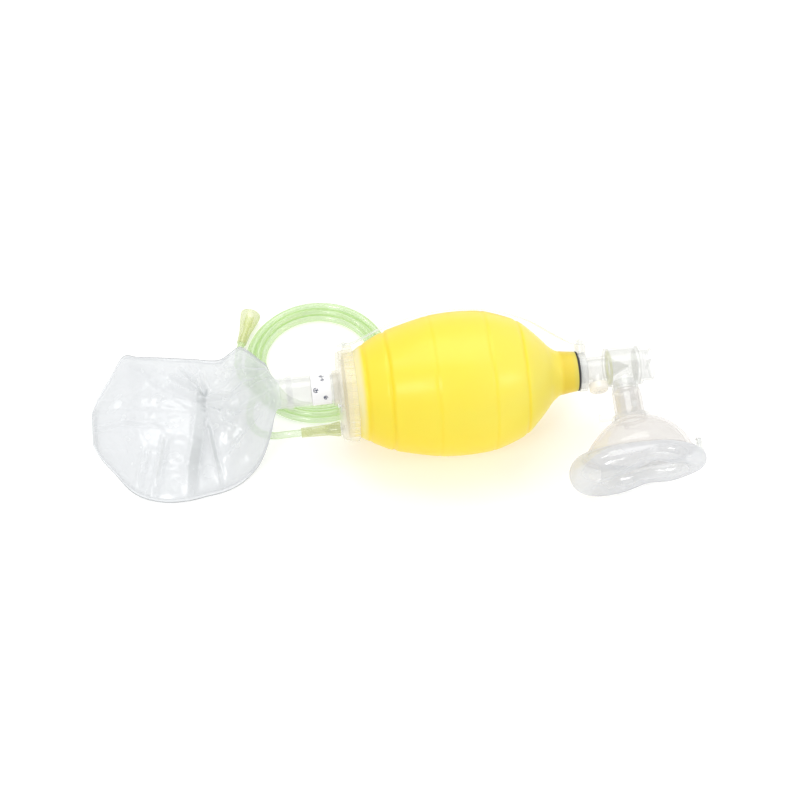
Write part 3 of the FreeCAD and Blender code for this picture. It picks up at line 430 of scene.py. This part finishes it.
def label_paper():
    """White label with small clusters of dark marks that spell nothing."""
    n = Nodes("label_paper")
    low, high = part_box("reservoir_label")
    tube_low, tube_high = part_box("reservoir_connector")
    axis = (tube_low + tube_high) / 2
    radius = high.z - axis.z
    place = n.places()
    cells = n.add("ShaderNodeTexVoronoi", Vector=place, Scale=620.0)
    cells.feature = "DISTANCE_TO_EDGE"
    lines = n.greys(cells.outputs["Distance"], (0.0, 1.0), (0.11, 1.0), (0.17, 0.0))
    inked = 0.0
    for along, turn, reach in MARK_CLUSTERS:
        lean = math.radians(55.0 - turn)
        x = (low.x + high.x) / 2 + along * MM
        spot = Vector((x, axis.y - radius * math.cos(lean), axis.z + radius * math.sin(lean)))
        away = n.add("ShaderNodeVectorMath")
        away.operation = "DISTANCE"
        n.tree.links.new(place, away.inputs[0])
        away.inputs[1].default_value = spot
        inside = n.combine("LESS_THAN", away.outputs["Value"], reach * MM)
        inked = n.combine("MAXIMUM", inked, inside)
    marks = n.combine("MULTIPLY", lines, inked)
    paper, ink = (0.93, 0.93, 0.94), (0.06, 0.07, 0.12)
    n.set(n.shader, "Base Color", n.ramp(marks, (0.0, paper), (1.0, ink)))
    n.set(n.shader, "Roughness", n.between(n.noise(800.0, 2.0), 0.45, 0.6))
    n.set(n.shader, "Normal", n.bump(n.noise(900.0, 3.0), 0.00004, 0.5))
    return n.material


# ---------------------------------------------------------------- mesh helpers


def add_mesh(name, points, faces, material, body):
    """A smooth shaded mesh piece with its finish, riding on a body."""
    mesh = bpy.data.meshes.new(name)
    mesh.from_pydata([tuple(p) for p in points], [], faces)
    mesh.update()
    tidy = bmesh.new()
    tidy.from_mesh(mesh)
    bmesh.ops.recalc_face_normals(tidy, faces=tidy.faces)
    tidy.to_mesh(mesh)
    tidy.free()
    mesh.polygons.foreach_set("use_smooth", [True] * len(mesh.polygons))
    mesh.materials.append(material)
    piece = bpy.data.objects.new(name, mesh)
    bpy.context.scene.collection.objects.link(piece)
    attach(piece, body)
    return piece


def grid_faces(rows, columns, wrap_columns=True, wrap_rows=False):
    """Quads of a grid of points, row by row."""
    faces = []
    for r in range(rows if wrap_rows else rows - 1):
        for c in range(columns if wrap_columns else columns - 1):
            a = r * columns + c
            b = r * columns + (c + 1) % columns
            d = (r + 1) % rows * columns
            faces.append((a, b, d + (c + 1) % columns, d + c))
    return faces


def arc_points(start, end, bulge, steps):
    """Points from start up to end, bowed sideways by bulge; the end point is left out."""
    (x0, r0), (x1, r1) = start, end
    length = math.hypot(x1 - x0, r1 - r0)
    across = ((r0 - r1) / length, (x1 - x0) / length)
    points = []
    for step in range(steps):
        t = step / steps
        rise = 4 * bulge * t * (1 - t)
        x = x0 + (x1 - x0) * t + across[0] * rise
        points.append((x, r0 + (r1 - r0) * t + across[1] * rise))
    return points


# ---------------------------------------------------------------- compression bag


RIDGES = [
    # x and radius of each moulded ridge, and how far the facet after it bows outwards
    (1.0, 39.2, 0.3),
    (11.0, 45.3, 0.5),
    (31.0, 54.9, 0.5),
    (72.0, 64.9, 1.5),
    (123.0, 64.3, 0.7),
    (153.0, 53.4, 0.3),
    (163.0, 44.8, 0.2),
    (176.5, 30.6, -0.5),
    (184.5, 22.8, -0.5),
    (190.0, 20.4, -0.15),
    (204.0, 18.5, 0.0),
]
GROOVES = [
    # x, depth and width of the fine grooves beside the ridges
    (10.0, 0.6, 1.4),
    (30.6, 1.25, 1.7),
    (71.5, 0.45, 1.8),
    (122.0, 0.45, 1.6),
    (152.8, 1.15, 1.6),
    (189.5, 0.25, 0.9),
]


def bag_outline():
    """Outside of the bag: facets bowed between moulded ridges, with fine grooves."""
    outline = []
    for (x0, r0, bulge), (x1, r1, _) in zip(RIDGES, RIDGES[1:]):
        outline += arc_points((x0, r0), (x1, r1), bulge, max(6, round((x1 - x0) / 0.9)))
    outline.append(RIDGES[-1][:2])
    grooved = []
    for x, r in outline:
        cut = sum(depth * math.exp(-(((x - groove) / w) ** 2)) for groove, depth, w in GROOVES)
        grooved.append((x, r - cut))
    return grooved


def make_bag(material):
    """The compression bag: a turned wall with moulded ridges and a slight unevenness."""
    wall = 2.5
    lip = [(LIP_BACK, 37.6), (LIP_BACK + 0.8, 38.5), (0.2, 38.6)]
    outside = lip + bag_outline() + [(205.3, 17.8)]
    inside = [(x, r - wall) for x, r in reversed(outside[2:-1])]
    profile = outside + inside + [(LIP_BACK + 0.3, 36.2)]
    around = 144
    points = []
    for x, r in profile:
        for step in range(around):
            angle = 2 * math.pi * step / around
            across = Vector((0, math.cos(angle), math.sin(angle)))
            where = Vector((x * 0.018, across.y * 1.3, across.z * 1.3))
            free = smooth((x - 8) / 25) * smooth((186 - x) / 30)
            uneven = 0.55 * free * noise.noise(where)
            p = across * (r + uneven) * MM
            up = AXIS_Z + max(p.z, -AXIS_Z + OFF_TABLE)
            points.append(Vector((REAR_RIM + x * MM, AXIS_Y + p.y, up)))
    faces = grid_faces(len(profile), around, True, True)
    bag = add_mesh("compression_bag_skin", points, faces, material, "root")
    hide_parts("compression_bag")
    return bag


# ---------------------------------------------------------------- oxygen reservoir

FILM_STATIONS = [
    # x, low side y, high side y, low side z, high side z, middle top z, middle bottom z
    (-246.0, 16.0, 50.0, 5.0, 8.0, 9.0, 4.0),
    (-240.0, 2.0, 66.0, 3.0, 8.0, 13.0, 1.6),
    (-228.0, -16.0, 88.0, 2.0, 8.0, 17.0, 1.0),
    (-214.0, -37.0, 114.0, 2.0, 7.0, 20.0, 0.8),
    (-200.0, -48.0, 110.0, 2.0, 10.0, 24.0, 0.8),
    (-180.0, -54.5, 103.0, 2.0, 15.0, 26.0, 0.8),
    (-160.0, -55.0, 97.0, 2.0, 18.0, 28.0, 0.8),
    (-145.0, -52.5, 92.0, 2.0, 21.0, 30.0, 0.8),
    (-130.0, -50.0, 87.0, 2.0, 23.0, 34.0, 1.0),
    (-120.0, -47.0, 88.0, 2.5, 22.0, 38.0, 4.0),
    (-110.0, -42.0, 98.0, 3.5, 18.0, 43.0, 13.0),
    (-101.0, -37.0, 102.0, 8.0, 20.0, 51.0, 26.0),
    (-92.0, -32.0, 86.0, 18.0, 32.0, 61.0, 39.0),
    (-84.0, -25.0, 66.0, 34.0, 46.0, 71.0, 47.0),
    (-76.0, -14.0, 46.0, 53.0, 60.0, 80.0, 57.0),
    (-68.0, -8.5, 17.7, 66.0, 66.0, 85.4, 59.0),
]

FILM_FOLDS = [
    # route across the film, half width, depth, how grey the doubled film is, sharp edges
    (((-139.5, 47), (-142.5, 23), (-147, 0), (-154, -28), (-158, -54)), 4.8, 1.6, 0.90, True),
    (((-137, 15), (-134, -10), (-128, -50)), 2.2, 1.8, 0.80, True),
    (((-129, 25), (-122, 10), (-112, 2)), 2.0, 2.6, 0.30, False),
    (((-120, -20), (-104, -6), (-88, -2)), 1.6, 2.0, 0.20, False),
    (((-243, 30), (-212, 27), (-181, 18)), 1.6, -2.2, 0.0, False),
    (((-178, 3), (-186, -25), (-195, -51)), 2.4, 3.2, 0.30, False),
    (((-196, -4), (-208, -38)), 2.4, 2.4, 0.22, False),
    (((-160, 84), (-150, 64), (-139, 42)), 2.6, 4.0, 0.35, False),
    (((-170, 72), (-156, 60), (-144, 50)), 2.4, -4.0, 0.0, False),
    (((-152, 92), (-140, 66), (-136, 44)), 2.2, -3.2, 0.0, False),
    (((-142, 36), (-104, 32), (-68, 21)), 1.6, -3.0, 0.0, False),
    (((-140, 30), (-110, 12), (-84, 4)), 2.2, 3.0, 0.22, False),
    (((-128, 86), (-100, 55), (-74, 30)), 3.0, 3.0, 0.18, False),
    (((-142, 34), (-180, 72), (-213, 112)), 4.5, 1.2, 0.08, False),
    (((-150, 32), (-190, 45), (-243, 56)), 5.0, 1.0, 0.08, False),
]


def fold_height(x, y):
    """Height and greyness that the folds add to the film at a place seen from above."""
    run_out = 0.15
    height = 0.0
    grey = 0.0
    place = Vector((x, y))
    for route, half_width, depth, doubled, sharp in FILM_FOLDS:
        best = None
        for number, (start, end) in enumerate(zip(route, route[1:])):
            run = Vector(end) - Vector(start)
            away = place - Vector(start)
            t = away.dot(run) / run.length_squared
            before = -run_out if number == 0 else 0.0
            beyond = 1 + run_out if number == len(route) - 2 else 1.0
            t = min(max(t, before), beyond)
            gap = (away - run * t).length
            if best is None or gap < best[0]:
                side = math.copysign(gap, away.x * run.y - away.y * run.x)
                best = (gap, side, number + t, run)
        gap, side, travel, run = best
        if gap > 5 * half_width + 4:
            continue
        ends = smooth((travel + run_out) / (2 * run_out))
        ends *= smooth((len(route) - 1 + run_out - travel) / (2 * run_out))
        side += 0.9 * noise.noise(Vector((route[0][0], route[0][1], travel * 2.5)))
        valley = math.exp(-(((side + half_width) / (0.6 * half_width + 0.6)) ** 2))
        crest = math.exp(-(((side - half_width) / (0.5 * half_width + 0.6)) ** 2))
        height += ends * depth * (0.8 * crest - valley)
        if sharp:
            inside = min(max((half_width - abs(side)) / 0.9 + 0.5, 0.0), 1.0)
        else:
            inside = math.exp(-((side / (1.3 * half_width)) ** 2))
        grey = max(grey, ends * doubled * inside)
    return height, grey


def crumple(x, y, seed):
    """Facets and soft waves of handled film, flatter towards the far end."""
    ease = 0.45 + 0.55 * smooth((x + 205) / 45)
    where = Vector((x / 26.0, y / 26.0, seed))
    bent = where + 0.35 * noise.noise_vector(where * 0.8)
    cells = noise.voronoi(bent)[0]
    small = noise.voronoi(bent * 2.6)[0]
    facets = 1.7 * (cells[1] - cells[0]) + 0.9 * (small[1] - small[0])
    return ease * facets + 1.6 * noise.noise(where * 0.9)


def make_reservoir(material):
    """The film reservoir: two layers welded along their edge, gathered on the connector."""
    rows, across = 180, 208
    neck_x, far_x = FILM_STATIONS[-1][0], FILM_STATIONS[0][0]
    neck_y, neck_z, neck_radius = 4.6, 72.3, 13.4
    points, greys = [], []
    for row in range(rows):
        t = row / (rows - 1)
        x = neck_x + (far_x - neck_x) * t**1.12
        low_y, high_y, low_z, high_z, top_z, bottom_z = curve_through(FILM_STATIONS, x)
        gather = smooth((x - (neck_x - 11)) / 11)
        pleats = 2.6 * smooth((neck_x + 2 - x) / 20) * smooth((x + 150) / 60)
        for column in range(across):
            top = column < across / 2
            v = column / (across / 2) if top else 2 - column / (across / 2)
            weld = min(3.5 / (high_y - low_y), 0.3) * (1 - gather)
            raised = min(max((v - weld) / (1 - 2 * weld), 0.0), 1.0)
            arch = math.sin(math.pi * raised) ** 0.75 if 0 < raised < 1 else 0.0
            y = low_y + (high_y - low_y) * v
            side_z = low_z + (high_z - low_z) * v
            middle = (top_z if top else bottom_z) - (low_z + high_z) / 2
            z = side_z + middle * arch
            angle = math.pi * (1 - v) if top else math.pi * (1 + v)
            round_y = neck_y + neck_radius * math.cos(angle)
            round_z = neck_z + neck_radius * math.sin(angle)
            height, grey = fold_height(x, y)
            flat = (1 - gather) * min(1.0, 6 * v * (1 - v))
            share = 1.0 if top else 0.22
            z += share * flat * (height + crumple(x, y, 3.0 if top else 9.0) - 1.6)
            z += pleats * math.sin(13 * math.pi * v + (0 if top else 1.0)) * arch
            y = y * (1 - gather) + round_y * gather
            z = z * (1 - gather) + round_z * gather
            points.append(bag_point(x, y, max(z, 0.5)))
            edge = min(min(v, 1 - v) * (high_y - low_y), x - far_x) * (1 - gather) + 9 * gather
            seam = 0.30 * min(max((4.2 - edge) / 0.8, 0.0), 1.0)
            seam += 0.30 * math.exp(-(((edge - 4.0) / 0.8) ** 2))
            doubled = grey * flat
            greys.append(max(doubled, seam) if top else max(0.3 * doubled, 0.5 * seam))
    faces = grid_faces(rows, across)
    last = (rows - 1) * across
    for column in range(1, across // 2):
        a, b = last + column, last + across - column
        if column == 1:
            faces.append((last, a, b))
        if column < across // 2 - 1:
            faces.append((a, a + 1, b - 1, b))
        else:
            faces.append((a, last + across // 2, b))
    film = add_mesh("reservoir_film", points, faces, material, "root")
    layers = film.data.attributes.new("layers", "FLOAT", "POINT")
    layers.data.foreach_set("value", greys)
    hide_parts("reservoir_bag")
    return film


# ---------------------------------------------------------------- oxygen tubing

TUBE_DIAMETER = 6.5
LEAD_ROUTE = [
    (-52.2, -18.354, 39.857),
    (-64.0, -18.354, 39.857),
    (-78.0, -15.0, 34.0),
    (-90.0, -5.0, 25.5),
    (-97.5, 11.0, 17.5),
    (-98.5, 29.0, 13.0),
    (-94.0, 45.0, 11.0),
    (-86.0, 59.0, 9.9),
]
TAIL_ROUTE = [
    (-93.5, 66.0, 4.2),
    (-103.0, 77.0, 6.4),
    (-105.2, 95.0, 9.8),
    (-99.0, 113.0, 9.8),
]
COIL_CENTRE = (-27.5, 86.0)
COIL_INNER = 51.0  # radius at which the tube drops from the upper layer to the lower one
COIL_STRETCH = 1.01
COIL_LOOPS = [
    # radius, height and the offset of each loop's middle, from the first laid to the last
    (64.8, 9.8, 0.7, -0.8),
    (56.6, 9.8, -0.9, 0.9),
    (54.3, 3.3, 0.3, 0.2),
    (60.9, 3.3, 0.2, 0.3),
    (67.4, 3.3, 0.1, 0.4),
]


def coil_point(travel):
    """A point on the coil after so many turns, clockwise from where the lead comes in."""
    loop = min(int(travel), len(COIL_LOOPS) - 1)
    part = travel - loop
    radius, height, aside, along = COIL_LOOPS[loop]
    if loop + 1 < len(COIL_LOOPS):
        step_over = smooth((part - 0.88) / 0.12)
        after = COIL_LOOPS[loop + 1]
        if height > after[1]:
            after = (COIL_INNER, height, 0.0, 0.0)
        radius += (after[0] - radius) * step_over
        aside += (after[2] - aside) * step_over
        along += (after[3] - along) * step_over
    if loop and COIL_LOOPS[loop - 1][1] > height:
        drop = smooth(part / 0.12)
        radius = COIL_INNER + (radius - COIL_INNER) * drop
        height = COIL_LOOPS[loop - 1][1] + (height - COIL_LOOPS[loop - 1][1]) * drop
    angle = math.radians(205.0 - 360.0 * travel)
    x = COIL_CENTRE[0] + aside + radius * COIL_STRETCH * math.cos(angle)
    y = COIL_CENTRE[1] + along + radius * COIL_STRETCH * math.sin(angle)
    return x, y, height


def make_tubing(material):
    """The oxygen tubing: one smooth line from the nipple through the coil to its far fitting."""
    steps = 20
    coil = [coil_point(k / steps) for k in range(1, steps * len(COIL_LOOPS))]
    route = LEAD_ROUTE + coil + TAIL_ROUTE
    curve = bpy.data.curves.new("oxygen_tubing", "CURVE")
    curve.dimensions = "3D"
    spline = curve.splines.new("NURBS")
    spline.points.add(len(route) - 1)
    for point, place in zip(spline.points, route):
        point.co = (*bag_point(*place), 1.0)
    spline.order_u = 3
    spline.use_endpoint_u = True
    spline.resolution_u = 8
    curve.bevel_depth = TUBE_DIAMETER / 2 * MM
    curve.bevel_resolution = 5
    curve.use_fill_caps = True
    curve.materials.append(material)
    tubing = bpy.data.objects.new("oxygen_tubing", curve)
    bpy.context.scene.collection.objects.link(tubing)
    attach(tubing, "root")
    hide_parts("oxygen_tube_lead", "oxygen_tube_tail", "tubing_coil")
    return tubing


# ---------------------------------------------------------------- hand strap


STRAP_LINE = [
    # x along the bag and height over its axis, of the strap's outer face
    (-12.0, 46.4),
    (-9.0, 46.6),
    (2.0, 47.6),
    (27.0, 57.4),
    (48.0, 64.2),
    (72.0, 68.5),
    (98.0, 69.2),
    (123.0, 66.6),
    (145.0, 60.4),
    (165.0, 51.6),
    (183.0, 39.4),
    (200.0, 28.4),
    (207.0, 26.6),
    (217.0, 26.2),
]


def make_strap(material):
    """Clear strap over the back of the bag, with rounded edges and ends."""
    half_width, half_thickness = 12.0, 0.75
    tilt = math.radians(40.0)
    out = Vector((0, math.cos(tilt), math.sin(tilt)))
    side = Vector((0, -math.sin(tilt), math.cos(tilt)))
    around = 24
    rows = 130
    points = []
    for row in range(rows):
        x = STRAP_LINE[0][0] + (STRAP_LINE[-1][0] - STRAP_LINE[0][0]) * row / (rows - 1)
        radius = curve_through(STRAP_LINE, x)[0]
        from_end = min(x - STRAP_LINE[0][0], STRAP_LINE[-1][0] - x)
        corner = 5.0
        narrow = corner - math.sqrt(max(corner**2 - (corner - min(from_end, corner)) ** 2, 0.0))
        reach = half_width - narrow
        for step in range(around):
            turn = 2 * math.pi * step / around
            c, s = math.cos(turn), math.sin(turn)
            wide = math.copysign(abs(c) ** 0.35, c) * reach
            thick = math.copysign(abs(s) ** 0.8, s) * half_thickness
            place = out * (radius - half_thickness + thick) + side * wide
            offset = Vector((x, place.y, place.z)) * MM
            points.append(Vector((REAR_RIM, AXIS_Y, AXIS_Z)) + offset)
    faces = grid_faces(rows, around)
    faces.append(tuple(range(around)))
    faces.append(tuple(range((rows - 1) * around, rows * around)))
    strap = add_mesh("strap_band", points, faces, material, "root")
    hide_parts("hand_strap")
    return strap


# ---------------------------------------------------------------- mask

DOME_SECTIONS = [
    # z, half length, half width, shift towards the nose end
    (-53.6, 14.8, 14.8, 0.0),
    (-55.0, 19.4, 17.4, 1.6),
    (-57.6, 25.4, 21.0, 3.1),
    (-62.5, 32.8, 25.4, 3.5),
    (-68.5, 39.2, 28.8, 2.8),
    (-75.0, 44.4, 31.4, 1.4),
    (-81.0, 47.6, 33.4, 0.4),
    (-85.2, 49.4, 34.6, 0.0),
    (-86.6, 51.4, 36.0, 0.0),
    (-87.6, 52.6, 37.0, 0.0),
]


def make_mask_shell(material):
    """The mask's dome and neck: one moulded wall, thin over the dome, ribbed on the neck."""
    neck = [
        (-25.2, 12.4),
        (-25.2, 12.9),
        (-25.8, 13.2),
        (-28.0, 13.2),
        (-28.6, 12.9),
        (-30.0, 12.9),
        (-47.6, 13.0),
        (-48.2, 13.2),
        (-48.6, 14.4),
        (-49.6, 14.6),
        (-50.0, 13.3),
        (-52.6, 13.3),
    ]
    around = 96
    rings = [(z, r, r, 0.0) for z, r in neck]
    z_low = DOME_SECTIONS[-1][0]
    steps = 26
    for step in range(steps + 1):
        t = step / steps
        z = DOME_SECTIONS[0][0] + (z_low - DOME_SECTIONS[0][0]) * t**1.35
        rings.append((z, *curve_through(DOME_SECTIONS, z)))
    wall = 1.5
    bore = 11.1
    inner = [(z + 0.2, a - wall, b - wall, s) for z, a, b, s in reversed(rings[len(neck) + 2 :])]
    inner = [(z - wall if z > -84 else z, a, b, s) for z, a, b, s in inner]
    inner += [
        (-57.0, 13.2, 13.2, 0.6),
        (-54.5, bore, bore, 0.0),
        (-26.0, bore, bore, 0.0),
        (-25.2, bore + 0.4, bore + 0.4, 0.0),
    ]
    points = []
    ribs = 16
    ribbed_rings = (5, 6, 7)
    for number, (z, a, b, shift) in enumerate(rings + inner):
        for step in range(around):
            angle = 2 * math.pi * step / around
            rib = 0.0
            if number in ribbed_rings:
                rib = 0.55 * max(0.0, math.cos(ribs * angle)) ** 3
            nose = 1 + 0.045 * math.cos(angle) * smooth((-z - 56) / 20)
            pinch = 1 - 0.08 * smooth((-z - 58) / 22) * max(math.cos(angle), 0.0) ** 3
            x = shift + (a + rib) * math.cos(angle) * (nose if number < len(rings) else 1)
            y = (b + rib) * math.sin(angle) * pinch
            points.append(valve_point(x, y, z))
    faces = grid_faces(len(rings) + len(inner), around, True, True)
    shell = add_mesh("mask_dome", points, faces, material, "mask")
    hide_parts("mask_shell")
    return shell


def make_cushion(material):
    """The air cushion: thick under the chin, thin over the nose, its edge following a face."""
    long_way, around = 144, 40
    points = []
    for row in range(long_way):
        angle = 2 * math.pi * row / long_way
        c, s = math.cos(angle), math.sin(angle)
        chin = smooth((-c + 0.15) / 1.1)
        nose = smooth((c - 0.35) / 0.65)
        cheek = abs(s) ** 2
        tube = 12.2 + 2.2 * chin - 3.2 * nose - 0.4 * cheek
        tall = tube * (1.0 + 0.10 * chin)
        centre_z = -99.3 + 1.8 * nose + 0.9 * cheek * (1 - chin) - 0.8 * chin
        dip = cheek * math.exp(-(((c - 0.32) / 0.36) ** 2))
        tall -= 3.1 * dip
        centre_z += 3.1 * dip
        reach_x = 51.3 + 1.2 * nose - 1.4 * chin
        reach_y = 31.0 - 1.8 * nose * abs(s)
        swell = 0.35 * noise.noise(Vector((c * 1.7, s * 1.7, 4.0)))
        for step in range(around):
            turn = 2 * math.pi * step / around
            outward = (tube + swell) * math.cos(turn)
            upward = (tall + swell) * math.sin(turn)
            seam = 0.9 * math.exp(-(((turn - math.pi * 0.42) / 0.10) ** 2))
            seam += 0.9 * math.exp(-(((turn - math.pi * 1.5) / 0.07) ** 2))
            outward -= seam * math.cos(turn)
            upward -= seam * math.sin(turn)
            across = Vector((c / reach_x, s / reach_y, 0)).normalized()
            x = reach_x * c + outward * across.x
            y = reach_y * s + outward * across.y
            place = valve_point(x, y, centre_z + upward)
            place.z = max(place.z, 0.0002)
            points.append(place)
    faces = grid_faces(long_way, around, True, True)
    cushion = add_mesh("mask_air_cushion", points, faces, material, "mask")
    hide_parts("mask_cushion")
    return cushion


# ---------------------------------------------------------------- the scene

make_camera()
make_studio()

CLEAR_PLASTICS = {
    # lighter and darker tint, haze face on and edge on, depth of the moulding lumps, shine
    "clear_plastic": ((0.76, 0.77, 0.75), (0.68, 0.69, 0.67), 0.17, 0.40),
    "clear_band": ((0.84, 0.85, 0.84), (0.80, 0.81, 0.80), 0.10, 0.22, 0.0002, 0.02),
    "clear_warm": ((0.84, 0.81, 0.70), (0.78, 0.75, 0.63), 0.26, 0.42, 0.0002, 0.03),
    "clear_elastic": ((0.78, 0.80, 0.77), (0.70, 0.73, 0.70), 0.2, 0.45),
    "relief_pale": ((0.88, 0.85, 0.78), (0.82, 0.79, 0.72), 0.60, 0.75),
    "strap_clear": ((0.80, 0.82, 0.79), (0.74, 0.76, 0.73), 0.13, 0.4),
    "mask_clear": ((0.75, 0.72, 0.69), (0.69, 0.66, 0.635), 0.22, 0.48, 0.0004, 0.06),
    "cushion_clear": ((0.64, 0.655, 0.68), (0.57, 0.585, 0.605), 0.34, 0.6, 0.0006, 0.10),
    "fitting_green": ((0.65, 0.70, 0.31), (0.50, 0.55, 0.21), 0.34, 0.78),
    "valve_silicone": ((0.80, 0.80, 0.78), (0.72, 0.72, 0.70), 0.24, 0.45),
}
plastics = {name: clear_plastic(name, *look) for name, look in CLEAR_PLASTICS.items()}
clear = plastics["clear_plastic"]
warm = plastics["clear_warm"]
soft = plastics["clear_elastic"]
silicone = plastics["valve_silicone"]
black = rubber("black_rubber", (0.015, 0.015, 0.016), (0.03, 0.03, 0.032))
white_plastic = rubber("white_plastic", (0.84, 0.84, 0.84), (0.9, 0.9, 0.9), 0.35)

finishes = {
    "rear_retaining_ring": warm,
    "rear_cover": warm,
    "intake_housing": warm,
    "reservoir_connector": clear,
    "reservoir_neck_band": plastics["clear_band"],
    "reservoir_label": label_paper(),
    "air_inlet_valve_peg": white_plastic,
    "overflow_valve_peg": white_plastic,
    "air_inlet_valve_disc": silicone,
    "overflow_valve_disc": silicone,
    "intake_valve_disc": silicone,
    "oxygen_nipple": clear,
    "neck_o_ring": black,
    "neck_adaptor": clear,
    "front_collar": clear,
    "rear_strap_pegs": soft,
    "front_strap_pegs": soft,
    "tubing_connector_near": plastics["fitting_green"],
    "tubing_connector_far": plastics["fitting_green"],
    "valve_inlet_housing": clear,
    "relief_valve_cap": plastics["relief_pale"],
    "relief_valve_spring": steel(),
    "relief_valve_disc": silicone,
    "lip_valve": lip_silicone(),
    "valve_housing": clear,
    "exhalation_port": clear,
    "exhalation_valve_disc": silicone,
    "patient_connector": clear,
    "mask_hook_ring": clear,
    "mask_inflation_tube": soft,
    "mask_inflation_plug": white_plastic,
}
for name, finish in finishes.items():
    nodes[name].data.materials.clear()
    nodes[name].data.materials.append(finish)

make_tubing(green_tubing())
make_bag(yellow_silicone())
make_reservoir(film_material())
make_strap(plastics["strap_clear"])
make_mask_shell(plastics["mask_clear"])
make_cushion(plastics["cushion_clear"])
